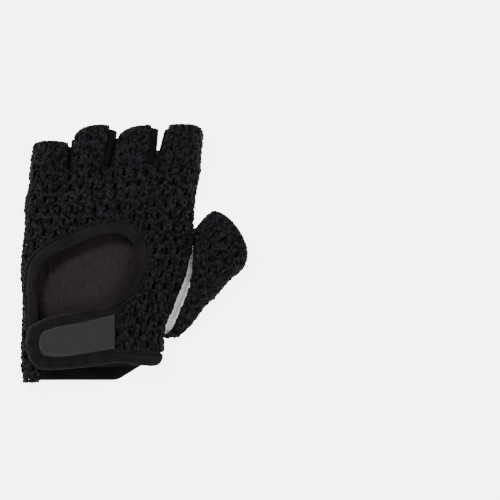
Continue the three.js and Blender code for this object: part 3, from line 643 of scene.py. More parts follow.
@dataclass
class Yarn:
    """Strands of yarn or thread, drawn as tubes with few sides."""

    radius: float
    sides: int = 6

    def strand(self, parts: MeshParts, path: Array, normals: Array, share: Array | float = 1.0) -> None:
        """Add one strand.

        Args:
            parts: What it is added to.
            path: The points it follows.
            normals: The cloth's normals there.
            share: Its radius along it, as a share of the yarn's own.
        """
        tangent = unit(np.gradient(path, axis=0))
        side = unit(np.cross(tangent, normals))
        up = np.cross(side, tangent)
        angle = np.arange(self.sides)[None, :, None] / self.sides * TURN
        size = self.radius * np.broadcast_to(np.asarray(share, float), (len(path),))
        ring = side[:, None] * np.cos(angle) - up[:, None] * np.sin(angle)
        sweep(parts, path[:, None] + ring * size[:, None, None])


class Cloth:
    """A patch of cloth that can be addressed in millimetres across and along it."""

    STEP = 0.6
    ROWS_AT = 1.0

    def __init__(self, row: Callable[[float], Array], length: float) -> None:
        """Lay the patch out on an even net of points.

        Args:
            row: Gives a row's points from left to right, at a distance along the patch.
            length: The patch's length.
        """
        self.length = length
        self.along = np.linspace(0.0, length, max(int(length / self.ROWS_AT), 4) + 1)
        lines = [row(v) for v in self.along]
        spans = [distance_along(line) for line in lines]
        self.left = np.array([-span[-1] / 2 for span in spans])
        self.right = -self.left
        self.low = self.left.min() - 2 * self.STEP
        self.across = np.arange(self.low, self.right.max() + 3 * self.STEP, self.STEP)
        points = np.stack(
            [
                np.stack([np.interp(self.across, span - span[-1] / 2, line[:, i]) for i in range(3)], axis=-1)
                for line, span in zip(lines, spans)
            ]
        )
        beyond_left = np.minimum(self.across[None, :] - self.left[:, None], 0.0)
        beyond_right = np.maximum(self.across[None, :] - self.right[:, None], 0.0)
        starts = np.stack([line[1] - line[0] for line in lines])
        ends = np.stack([line[-1] - line[-2] for line in lines])
        beyond = beyond_left[..., None] * unit(starts)[:, None]
        points += beyond + beyond_right[..., None] * unit(ends)[:, None]
        self.points = points
        self.normals = grid_normals(points)

    def edges(self, v: Array) -> tuple[Array, Array]:
        """The patch's left and right edge at distances along it."""
        return np.interp(v, self.along, self.left), np.interp(v, self.along, self.right)

    def place(self, u: Array, v: Array, lift: Array | float = 0.0) -> tuple[Array, Array]:
        """Points of the patch and its normals there.

        Args:
            u: Millimetres across, from the middle.
            v: Millimetres along.
            lift: How far the points stand off the cloth.

        Returns:
            The points and the normals.
        """
        i = np.clip(v / self.length * (len(self.along) - 1), 0, len(self.along) - 1.001)
        j = np.clip((u - self.low) / self.STEP, 0, len(self.across) - 1.001)
        i0, j0 = i.astype(int), j.astype(int)
        di, dj = (i - i0)[..., None], (j - j0)[..., None]

        def mix(net: Array) -> Array:
            """The net's value between its points."""
            low = net[i0, j0] * (1 - dj) + net[i0, j0 + 1] * dj
            high = net[i0 + 1, j0] * (1 - dj) + net[i0 + 1, j0 + 1] * dj
            return low * (1 - di) + high * di

        normals = unit(mix(self.normals))
        return mix(self.points) + normals * np.broadcast_to(lift, u.shape)[..., None], normals


@dataclass
class Crochet:
    """Net stitch: plaited chain rows joined by clusters of twisted posts, with small holes between."""

    yarn: Yarn = field(default_factory=lambda: Yarn(0.74))
    pitch: float = 7.3
    row: float = 6.9
    stagger: float = 0.42
    depth: float = 1.25
    chain_reach: float = 1.15
    chain_wave: float = 6.0
    cluster: tuple[float, ...] = (-1.55, 0.0, 1.55)
    post_fan: float = 0.15
    post_twist: float = 0.7
    post_turns: float = 1.15
    post_rise: float = 0.15
    post_arch: float = 0.4
    post_proud: tuple[float, float] = (0.1, 0.25)  # mean and spread
    post_overlap: float = 0.3
    unevenness: float = 0.34
    plait_lift: float = 0.8
    drift: tuple[float, float] = (0.25, 9.0)  # a chain's sway and how far apart its turns are
    swell: tuple[float, float] = (0.1, 0.9)  # the yarn's thick and thin places
    hem_lines: tuple[float, ...] = (1.4, 4.0)
    rim_back: float = 2.6
    edge_gap: float = 0.3
    overrun: float = 0.5
    shortest: int = 4  # points in the shortest strand that is worth drawing
    widest: int = 14  # columns on either side of a patch's middle
    step: float = 0.78
    seed: int = 7

    def __post_init__(self) -> None:
        """Start the random numbers."""
        self.random = np.random.default_rng(self.seed)

    def run(self, parts: MeshParts, cloth: Cloth, uvw: Array, keep: Callable[[Array], Array]) -> None:
        """Add a strand wherever the cloth is there to hold it.

        Args:
            parts: What it is added to.
            cloth: The patch it lies on.
            uvw: Its places across, along and off the cloth.
            keep: Tells which points of the frame are cloth.
        """
        path, normals = cloth.place(uvw[:, 0], uvw[:, 1], uvw[:, 2])
        left, right = cloth.edges(uvw[:, 1])
        held = keep(path) & (uvw[:, 0] > left + self.edge_gap) & (uvw[:, 0] < right - self.edge_gap)
        held &= (uvw[:, 1] > -self.overrun) & (uvw[:, 1] < cloth.length + self.overrun)
        marks = np.flatnonzero(np.diff(np.concatenate([[False], held, [False]]).astype(int)))
        for a, b in zip(marks[::2], marks[1::2]):
            if b - a >= self.shortest:
                wave = np.sin(np.arange(b - a) * self.swell[1] + self.random.uniform(0, TURN))
                share = 1 + self.swell[0] * wave
                self.yarn.strand(parts, path[a:b], normals[a:b], share)

    def plait(self, parts: MeshParts, cloth: Cloth, line: Array, keep: Callable[[Array], Array]) -> None:
        """Add three plaited strands along a line of the cloth.

        Args:
            parts: What they are added to.
            cloth: The patch.
            line: The line's places across and along the patch, a step apart.
            keep: Tells which points of the frame are cloth.
        """
        along = distance_along(np.column_stack([line, np.zeros(len(line))]))
        way = unit(np.gradient(line, axis=0))
        side = np.column_stack([-way[:, 1], way[:, 0]])
        start = self.random.uniform(0, TURN)
        drift = self.drift[0] * np.sin(along / self.drift[1] + self.random.uniform(0, TURN))
        for k in range(3):
            turn = along / self.chain_wave * TURN + start + k * TURN / 3
            reach = self.chain_reach * np.sin(turn) + drift
            off = -self.depth + self.plait_lift * np.sin(2 * turn)
            self.run(parts, cloth, np.column_stack([line + side * reach[:, None], off]), keep)

    def rows(
        self, parts: MeshParts, cloth: Cloth, keep: Callable[[Array], Array], first: int = 0
    ) -> list[float]:
        """Add the chain rows, from a first one on, and give all their places along the patch."""
        count = max(round(cloth.length / self.row), 1)
        places = [cloth.length * k / count for k in range(count + 1)]
        for v in places[first:]:
            left, right = cloth.edges(np.array(v))
            u = np.arange(left, right, self.step)
            inside = min(max(v, self.chain_reach), cloth.length - self.chain_reach)
            self.plait(parts, cloth, np.column_stack([u, np.full_like(u, inside)]), keep)
        return places

    def post(
        self, parts: MeshParts, cloth: Cloth, ends: Array, keep: Callable[[Array], Array]
    ) -> None:
        """Add one post of two twisted strands.

        Args:
            parts: What it is added to.
            cloth: The patch.
            ends: Its lower and upper end, across and along the patch.
            keep: Tells which points of the frame are cloth.
        """
        t = np.linspace(0.0, 1.0, 9)
        phase = self.random.uniform(0, TURN)
        way = self.random.choice((-1, 1))
        proud = self.random.normal(*self.post_proud)
        for strand in (0, 0.5):
            turn = (t * self.post_turns * way + strand) * TURN + phase
            u = lerp(ends[0, 0], ends[1, 0], t) + self.post_twist * np.cos(turn)
            v = lerp(ends[0, 1], ends[1, 1], t)
            off = -self.depth + self.post_rise + self.post_twist * np.sin(turn)
            off = off + (self.post_arch + proud) * np.sin(t * math.pi)
            self.run(parts, cloth, np.column_stack([u, v, off]), keep)

    def posts(
        self,
        parts: MeshParts,
        cloth: Cloth,
        places: list[float],
        keep: Callable[[Array], Array],
        start: int = 0,
    ) -> None:
        """Add the clusters of posts between chain rows.

        Args:
            parts: What they are added to.
            cloth: The patch.
            places: The chain rows' places along it.
            keep: Tells which points of the frame are cloth.
            start: The number of the first row.
        """
        for k, (low, high) in enumerate(zip(places, places[1:]), start):
            left, right = cloth.edges(np.array((low + high) / 2))
            shift = (-self.stagger * k) % 1.0
            centres = (np.arange(-self.widest, self.widest + 1) + shift) * self.pitch
            for centre in centres[(centres > left) & (centres < right)]:
                for side in self.cluster:
                    wobble = self.random.normal(0, self.unevenness, 4)
                    foot = (centre + side, low - self.post_overlap)
                    head = (centre + side * (1 + self.post_fan), high + self.post_overlap)
                    ends = np.array([foot, head])
                    self.post(parts, cloth, ends + wobble.reshape(2, 2), keep)

    def hems(self, parts: MeshParts, cloth: Cloth, keep: Callable[[Array], Array]) -> None:
        """Add two plaits along both side edges."""
        v = np.arange(0.0, cloth.length, self.step)
        for edge, inwards in zip(cloth.edges(v), (1, -1)):
            for distance in self.hem_lines:
                self.plait(parts, cloth, np.column_stack([edge + inwards * distance, v]), keep)

    def rim(self, parts: MeshParts, cloth: Cloth, keep: Callable[[Array], Array]) -> None:
        """Close the net below its end with one more chain row."""
        v = cloth.length - self.rim_back * self.chain_reach
        left, right = cloth.edges(np.array(v))
        u = np.arange(left, right, self.step)
        self.plait(parts, cloth, np.column_stack([u, np.full_like(u, v)]), keep)


def every(points: Array) -> Array:
    """All the points."""
    return np.ones(len(points), bool)


def inside_outline(points: Array, outline: Array) -> Array:
    """Which plan points lie in a closed outline."""
    hits = np.zeros(len(points), bool)
    x, y = points[:, 0], points[:, 1]
    for a, b in zip(outline, np.roll(outline, -1, axis=0)):
        crosses = (a[1] > y) != (b[1] > y)
        slope = (b[0] - a[0]) / (b[1] - a[1]) if b[1] != a[1] else 0.0
        hits ^= crosses & (x < slope * (y - a[1]) + a[0])
    return hits


def spline(points: Array, count: int) -> Array:
    """An even run of points on a smooth curve through some points."""
    padded = np.vstack([2 * points[0] - points[1], points, 2 * points[-1] - points[-2]])
    out = []
    for i in range(1, len(padded) - 2):
        a, b, c, d = padded[i - 1 : i + 3]
        t = np.linspace(0, 1, 24, endpoint=False)[:, None]
        square, cube = 2 * a - 5 * b + 4 * c - d, 3 * b - a - 3 * c + d
        out.append(0.5 * (2 * b + (c - a) * t + square * t**2 + cube * t**3))
    dense = np.vstack([*out, points[-1:]])
    way = distance_along(dense)
    even = np.linspace(0, way[-1], count)
    return np.stack([np.interp(even, way, dense[:, k]) for k in range(dense.shape[1])], axis=-1)


def moved(path: Array, distance: Array | float) -> Array:
    """A plan line moved sideways, to the left of its direction where distance is positive."""
    way = unit(np.gradient(path, axis=0))
    side = np.column_stack([-way[:, 1], way[:, 0]])
    return path + side * np.broadcast_to(distance, (len(path),))[:, None]


def lerp(a: Array | float, b: Array | float, t: Array | float) -> Array:
    """The value at share t between two."""
    return a * (1 - t) + b * t


def distance_to(points: Array, line: Array) -> Array:
    """Distances in plan from points to a line of points."""
    flat = points[..., :2].reshape(-1, 1, 2)
    a, b = line[None, :-1], line[None, 1:]
    way = b - a
    t = ((flat - a) * way).sum(-1) / np.maximum((way * way).sum(-1), 1e-9)
    nearest = a + way * np.clip(t, 0, 1)[..., None]
    return np.linalg.norm(flat - nearest, axis=-1).min(axis=1).reshape(points.shape[:-1])


def settle(obj: bpy.types.Object) -> None:
    """Apply the object's modifiers to its mesh."""
    depsgraph = bpy.context.evaluated_depsgraph_get()
    mesh = bpy.data.meshes.new_from_object(obj.evaluated_get(depsgraph))
    obj.modifiers.clear()
    obj.data = mesh


def weld(obj: bpy.types.Object) -> None:
    """Join the object's vertices that lie on each other."""
    net = bmesh.new()
    net.from_mesh(obj.data)
    bmesh.ops.remove_doubles(net, verts=net.verts, dist=0.02 * MM)
    net.to_mesh(obj.data)
    net.free()


@dataclass
class Stitching:
    """Lockstitch sewing: short lengths of thread that dip into the cloth at both ends."""

    thread: Yarn
    length: float = 2.3
    gap: float = 0.6
    arch: float = 1.5  # a stitch's rise and how deep its ends dip, as shares of the thread's radius
    dip: float = 0.9

    def sew(self, parts: MeshParts, path: Array, normals: Array) -> None:
        """Add stitches along a line.

        Args:
            parts: What they are added to.
            path: Points of the line, on the cloth.
            normals: The cloth's outward normals there.
        """
        way = distance_along(path)
        count = int(way[-1] / (self.length + self.gap))
        t = np.linspace(0, 1, 6)
        for k in range(count):
            at = (k + 0.5) * (self.length + self.gap) + t * self.length
            point = np.stack([np.interp(at, way, path[:, i]) for i in range(3)], axis=-1)
            normal = unit(np.stack([np.interp(at, way, normals[:, i]) for i in range(3)], axis=-1))
            rise = self.thread.radius * (self.arch * np.sin(t * math.pi) - self.dip)
            self.thread.strand(parts, point + normal * rise[:, None], normal)


def shares(form: HandForm, *points: tuple[float, ...]) -> Array:
    """Plan points, and any numbers after them, from shares of the form's width and length."""
    table = np.array(points, float)
    table[:, 0] *= form.width
    table[:, 1] *= form.length
    return table


@dataclass
class Back:
    """The crocheted back: the hand's net, the four finger backs and the thumb's tube, with dark sheets of
    painted shade under parts of them.
    """

    form: HandForm
    opening: Array
    tape: float = 9.3
    tuck: float = 2.6  # how far the net runs under the tape
    root: tuple[float, float] = (0.04, 0.24)  # the strap's root, where the net is cut beside it
    side: tuple[float, float] = (-0.418, 0.15)  # where the net is cut beside the keyhole's foot
    cut_low: float = -0.1
    right_end: float = 0.128
    thumb_bulge: float = 5.5
    # The shade sheet: a thin dark sheet under the net, painted shade for the unlit inside seen through its
    # holes.
    shade_sheet_depth: float = 2.9
    shade_sheet_thickness: float = 0.4
    shade_sheet_reach: float = 22.0
    shade_sheet_start: float = 0.132
    shade_sheet_inset: float = 1.0
    shade_sheet_short: float = 0.8
    outer_corner: tuple[float, ...] = (0.022, 0.0, 0.0, 0.022)  # the outer fingers' round corners
    corner_from: float = 0.4
    corner_span: float = 0.5
    finger_columns: int = 24
    patch_columns: int = 40

    def hand_row(self, v: float) -> Array:
        """One row of the hand's patch."""
        t = np.linspace(0, 1, self.finger_columns, endpoint=False)
        middle = np.mean([self.form.crotch(f, np.array(0.5)) for f in range(4)])
        rows = [
            self.form.back_point(f, s, v * self.form.crotch(f, s) / middle)
            for f, s in [*((f, t) for f in range(3)), (3, np.append(t, 1.0))]
        ]
        return np.concatenate(rows)

    def finger_end(self, f: int, s: Array, reach: str) -> Array:
        """Where a finger's cloth ends, at shares across it."""
        form = self.form
        peak = form.finger(f, "peak")
        fall = form.finger(f, "round") * ((s - peak) / max(peak, 1 - peak)) ** 2
        if reach == "reach":
            outwards = 1 - s if f == 0 else s
            fall = fall + self.outer_corner[f] * smooth((outwards - self.corner_from) / self.corner_span)
        return (form.finger(f, reach) - fall) * form.length

    def finger_cloth(self, f: int) -> Cloth:
        """A finger's patch."""
        s = np.linspace(0, 1, self.patch_columns)
        crotch, end = self.form.crotch(f, s), self.finger_end(f, s, "reach")
        length = float((end - crotch).mean())
        return Cloth(lambda v: self.form.back_point(f, s, crotch + (end - crotch) * v / length), length)

    def thumb_cloth(self) -> Cloth:
        """The thumb's patch."""
        k = np.linspace(0, self.form.thumb_end, 60)
        _, _, _, wrap = self.form.thumb_frame(k)
        way = distance_along(self.form.thumb_point(k, (180 - wrap) / 2))

        def row(v: float) -> Array:
            """One row of the thumb, which bulges towards the open end."""
            at = np.full(self.patch_columns, np.interp(v, way, k))
            low = np.interp(at, k, wrap)
            inner, outer, _, _ = self.form.thumb_frame(at)
            turn = np.linspace(0, 1, self.patch_columns)
            points = self.form.thumb_point(at, 180 + (-low - 180) * turn)
            axis = unit(outer - inner)
            across = np.linalg.norm(points[:, :2] - inner, axis=-1)
            across = across / np.linalg.norm(outer - inner, axis=-1)
            bulge = self.form.thumb_bow(at, np.clip(across, 0, 1), self.thumb_bulge)
            points[:, :2] += np.column_stack([-axis[:, 1], axis[:, 0]]) * bulge[:, None]
            return points

        return Cloth(row, float(way[-1]))

    def hand_kept(self, points: Array) -> Array:
        """Which points of the hand are crochet."""
        form = self.form
        edge = form.held_in(moved(self.opening, self.tape - self.tuck))
        root, side = self.root, self.side
        corners = shares(form, root, (root[0], self.cut_low), (side[0], self.cut_low), side)
        hole = np.vstack([edge, corners])
        right_end = (points[:, 0] > 0) & (points[:, 1] < self.right_end * form.length)
        wrist = points[:, 1] < form.wrist_at * form.length
        on_top = points[:, 2] > form.hand_section(points[:, 1]).side
        return ~(inside_outline(points[:, :2], hole) & on_top) & ~right_end & ~wrist

    def shade_sheet(self, parts: MeshParts, cloth: Cloth, reach: float, low: float = 0.0) -> None:
        """Add a thin sheet of dark knit under the net, near a patch's right edge or behind all of it: painted
        shade that stands for the unlit inside seen through the net's holes.

        Args:
            parts: What it is added to.
            cloth: The patch.
            reach: How far in from the right edge it goes.
            low: Where it starts along the patch.
        """
        v = np.linspace(low, cloth.length - self.shade_sheet_short, 40)
        left, right = cloth.edges(v)
        start = np.maximum(left + self.shade_sheet_inset, right - reach)
        u = lerp(start[:, None], right[:, None] - self.shade_sheet_inset, np.linspace(0, 1, 30)[None, :])
        v = np.broadcast_to(v[:, None], u.shape)
        outer, _ = cloth.place(u, v, -self.shade_sheet_depth)
        inner, _ = cloth.place(u, v, -self.shade_sheet_depth - self.shade_sheet_thickness)
        closed_sheet(parts, outer, inner)

    def build(self, finish: bpy.types.Material, shade_sheet_finish: bpy.types.Material) -> None:
        """Make the net's pieces."""
        form = self.form
        middle = float(np.mean([form.crotch(f, np.array(0.5)) for f in range(4)]))
        stitch = Crochet()
        tight = Crochet(pitch=6.4, row=5.6, seed=11)
        hand = Cloth(self.hand_row, middle)
        rows = MeshParts(form.shift)
        places = stitch.rows(rows, hand, self.hand_kept)
        stitch.hems(rows, hand, self.hand_kept)
        rows.piece("crochet_hand_rows", finish, Slot.CROCHET, "back_crochet")
        half = len(places) // 2
        for name, start, some in (("wrist", 0, places[: half + 1]), ("knuckle", half, places[half:])):
            posts = MeshParts(form.shift)
            stitch.posts(posts, hand, some, self.hand_kept, start)
            posts.piece(f"crochet_{name}_posts", finish, Slot.CROCHET, "back_crochet")
        # Dark sheets of painted shade under the net, so that its holes show dark like the unlit inside.
        shade_sheets = MeshParts(form.shift)
        self.shade_sheet(shade_sheets, hand, self.shade_sheet_reach, self.shade_sheet_start * form.length)
        fingers = MeshParts(form.shift)
        for f in range(4):
            cloth = self.finger_cloth(f)
            self.shade_sheet(shade_sheets, cloth, form.width)
            tight.posts(fingers, cloth, tight.rows(fingers, cloth, every, first=1), every)
            tight.hems(fingers, cloth, every)
            tight.rim(fingers, cloth, every)
        fingers.piece("crochet_fingers", finish, Slot.CROCHET, "back_crochet")
        thumb = MeshParts(form.shift)
        cloth = self.thumb_cloth()
        self.shade_sheet(shade_sheets, cloth, form.width)
        shade_sheets.piece("crochet_shade_sheet", shade_sheet_finish, Slot.SIDE, "back_crochet", "thumb_crochet")
        tight.posts(thumb, cloth, tight.rows(thumb, cloth, every), every)
        tight.hems(thumb, cloth, every)
        tight.rim(thumb, cloth, every)
        thumb.piece("crochet_thumb", finish, Slot.CROCHET, "thumb_crochet")


@dataclass
class Wrist:
    """The wrist's soft pieces: one long binding tape, the strap it edges, its patch and its hook."""

    form: HandForm
    opening: Array
    strap_thickness: float = 2.0
    strap_gap: float = 0.3
    strap_inset: float = 1.6
    strap_rise: float = 2.5  # how far its tip stands off the back, over the hook
    rise_from: float = -0.3
    rise_span: float = 0.28
    tape_width: float = 9.3
    tape_narrow: float = 7.0  # its width where it turns along the strap
    narrow_from: float = 0.85
    tape_half: float = 1.5
    tape_sink: float = -0.4
    wrist_from: float = -0.02  # to the right of this it lies on the back's wrist edge
    wrist_sink: float = -0.6
    edge_rise: float = 1.2
    deepest: float = -0.7
    fold_round: float = 0.9
    groove_from_edge: float = 2.1
    groove_width: float = 0.6
    groove_depth: float = 1.35
    groove_side: float = 0.1
    thread: float = 0.2
    stitch_puff: tuple[float, float] = (0.05, 2.9)  # how much it swells, and over what length
    slow_puff: tuple[float, float] = (0.04, 7.3)
    tape_sides: int = 40
    patch_thickness: float = 0.9
    patch_edge: float = 0.9
    patch_round: float = 0.6
    patch_rim: tuple[float, float] = (1.5, 0.5)  # where the rim ends and how soft its step is
    patch_drop: float = 0.22
    patch_seat: float = 0.25
    patch_under: float = 0.3
    strap: Table = field(
        default_factory=lambda: Table(
            "x low high",
            (-0.41, 0.064, 0.246),
            (-0.26, 0.064, 0.277),
            (-0.09, 0.073, 0.294),
            (0.024, 0.088, 0.309),
        )
    )
    strap_end: float = 0.068
    patch: Table = field(
        default_factory=lambda: Table(
            "x low high",
            (-0.36, 0.113, 0.214),
            (-0.3, 0.109, 0.228),
            (-0.138, 0.122, 0.248),
            (0.032, 0.137, 0.274),
        )
    )
    patch_end: float = 0.045

    def strap_lift(self, x: Array) -> Array:
        """How far the strap's underside stands off the back: over the hook at its tip, flush at its root."""
        w = self.form.width
        share = (x - self.rise_from * w) / (self.rise_span * w)
        return lerp(self.strap_rise, -self.strap_thickness, smooth(share))

    def tape_path(self) -> Array:
        """The binding's free edge, with its width and the height of its middle off the back."""
        form = self.form
        opening = self.opening[:: max(len(self.opening) // 22, 1)]
        flat = np.full(len(opening), self.tape_sink)
        widths = [self.tape_width, self.tape_width, self.tape_narrow]
        width = np.interp(np.linspace(0, 1, len(opening)), [0, self.narrow_from, 1], widths)
        around = np.column_stack([opening, width, flat])
        strap = shares(form, *STRAP_EDGE)
        on_strap = self.strap_lift(strap[:, 0]) + self.edge_rise
        lift = np.where(strap[:, 0] > self.wrist_from * form.width, self.wrist_sink, on_strap)
        path = np.vstack([around[:-1], np.column_stack([strap, np.maximum(lift, self.deepest)])])
        return spline(path, 460)

    def tape_point(self, path: Array, across: Array, height: Array | float) -> Array:
        """Points of the binding: a share across it from its free edge, and a height."""
        side = moved(path[:, :2], 1.0) - path[:, :2]
        plan = path[:, None, :2] + side[:, None] * (path[:, 2, None] * across)[..., None]
        return self.form.on_back(plan, path[:, 3, None] + height)

    def binding(self, finish: bpy.types.Material, thread: bpy.types.Material) -> None:
        """Make the binding tape and its stitches."""
        path = self.tape_path()
        ring = np.arange(self.tape_sides) / self.tape_sides * TURN
        c, n = np.cos(ring), np.sin(ring)
        across = (np.sign(c) * np.abs(c) ** self.fold_round + 1) / 2
        across = np.broadcast_to(across, (len(path), self.tape_sides))
        along = distance_along(path[:, :2])
        groove = 1 - self.groove_from_edge / path[:, 2, None]
        dip = np.exp(-(((across - groove) * path[:, 2, None] / self.groove_width) ** 2))
        (much, often), (slow, seldom) = self.stitch_puff, self.slow_puff
        puff = 1 + much * np.sin(along * TURN / often)[:, None] + slow * np.sin(along / seldom)[:, None]
        height = self.tape_half * n * puff
        height -= self.groove_depth * dip * (n > self.groove_side)
        parts = MeshParts(self.form.shift)
        sweep(parts, self.tape_point(path, across, height))
        parts.piece("binding_tape", finish, Slot.TAPE, "opening_tape", "wrist_hem")
        line = self.tape_point(path, groove, self.tape_half - self.groove_depth)[:, 0]
        above = self.tape_point(path, groove, self.tape_half)[:, 0]
        stitches = MeshParts(self.form.shift)
        Stitching(Yarn(self.thread)).sew(stitches, line, unit(above - line))
        stitches.piece("binding_stitches", thread, Slot.TAPE, "opening_tape")

    def tongue(self, table: Table, end: float, columns: int, rows: int, inset: float) -> Array:
        """Plan points of a plate with a round left end, drawn in from its outline."""
        form = self.form
        first, last = table.rows[0, 0], table.rows[-1, 0]
        t = (1 - np.cos(np.linspace(0, 1, columns) * math.pi)) / 2
        shrink = inset / form.width
        x = lerp(first - end + shrink, last - shrink, t)[None, :]
        beyond = np.clip((first - x) / (end - shrink), 0, 0.995)
        spread = np.sqrt(1 - beyond**2)
        low, high = (table.value(n, np.maximum(x, first)) * form.length for n in ("low", "high"))
        middle = (table.rows[0, 1] + table.rows[0, 2]) / 2 * form.length
        low = middle + (low + inset - middle) * spread
        high = middle + (high - inset - middle) * spread
        u = np.linspace(0, 1, rows)[:, None]
        return np.stack(np.broadcast_arrays(x * form.width, lerp(low, high, u)), axis=-1)

    def strap_body(self, finish: bpy.types.Material) -> None:
        """Make the strap's cloth between its bindings."""
        plan = self.tongue(self.strap, self.strap_end, 60, 24, self.strap_inset)
        lift = self.strap_lift(plan[..., 0])
        parts = MeshParts(self.form.shift)
        top = self.form.on_back(plan, lift + self.strap_thickness)
        closed_sheet(parts, top, self.form.on_back(plan, lift + self.strap_gap))
        parts.piece("strap_body", finish, Slot.TAPE, "strap")

    def rubber_patch(self, finish: bpy.types.Material) -> None:
        """Make the moulded patch: a plate with a soft edge, a low rim and a field inside it."""
        plan = self.tongue(self.patch, self.patch_end, 110, 44, 0.0)
        outline = np.vstack([plan[0], plan[1:, -1], plan[-1, ::-1][1:], plan[::-1, 0][1:]])
        edge = distance_to(plan, outline)
        rise = self.patch_thickness * smooth(edge / self.patch_edge) ** self.patch_round
        rim, step = self.patch_rim
        drop = self.patch_drop * smooth((edge - rim) / step)
        lift = self.strap_lift(plan[..., 0]) + self.strap_thickness + self.patch_seat
        top = self.form.on_back(plan, lift + rise - drop)
        parts = MeshParts(self.form.shift)
        closed_sheet(parts, top, self.form.on_back(plan, lift - self.patch_under))
        parts.piece("rubber_patch", finish, Slot.RUBBER, "strap_patch")

    def build(self, finishes: dict[str, bpy.types.Material]) -> None:
        """Make the wrist's pieces."""
        self.binding(finishes["tape"], finishes["black_thread"])
        self.strap_body(finishes["tape"])
        self.rubber_patch(finishes["rubber"])
        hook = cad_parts["strap_hook"]
        hook.data.materials.clear()
        hook.data.materials.append(finishes["hook"])


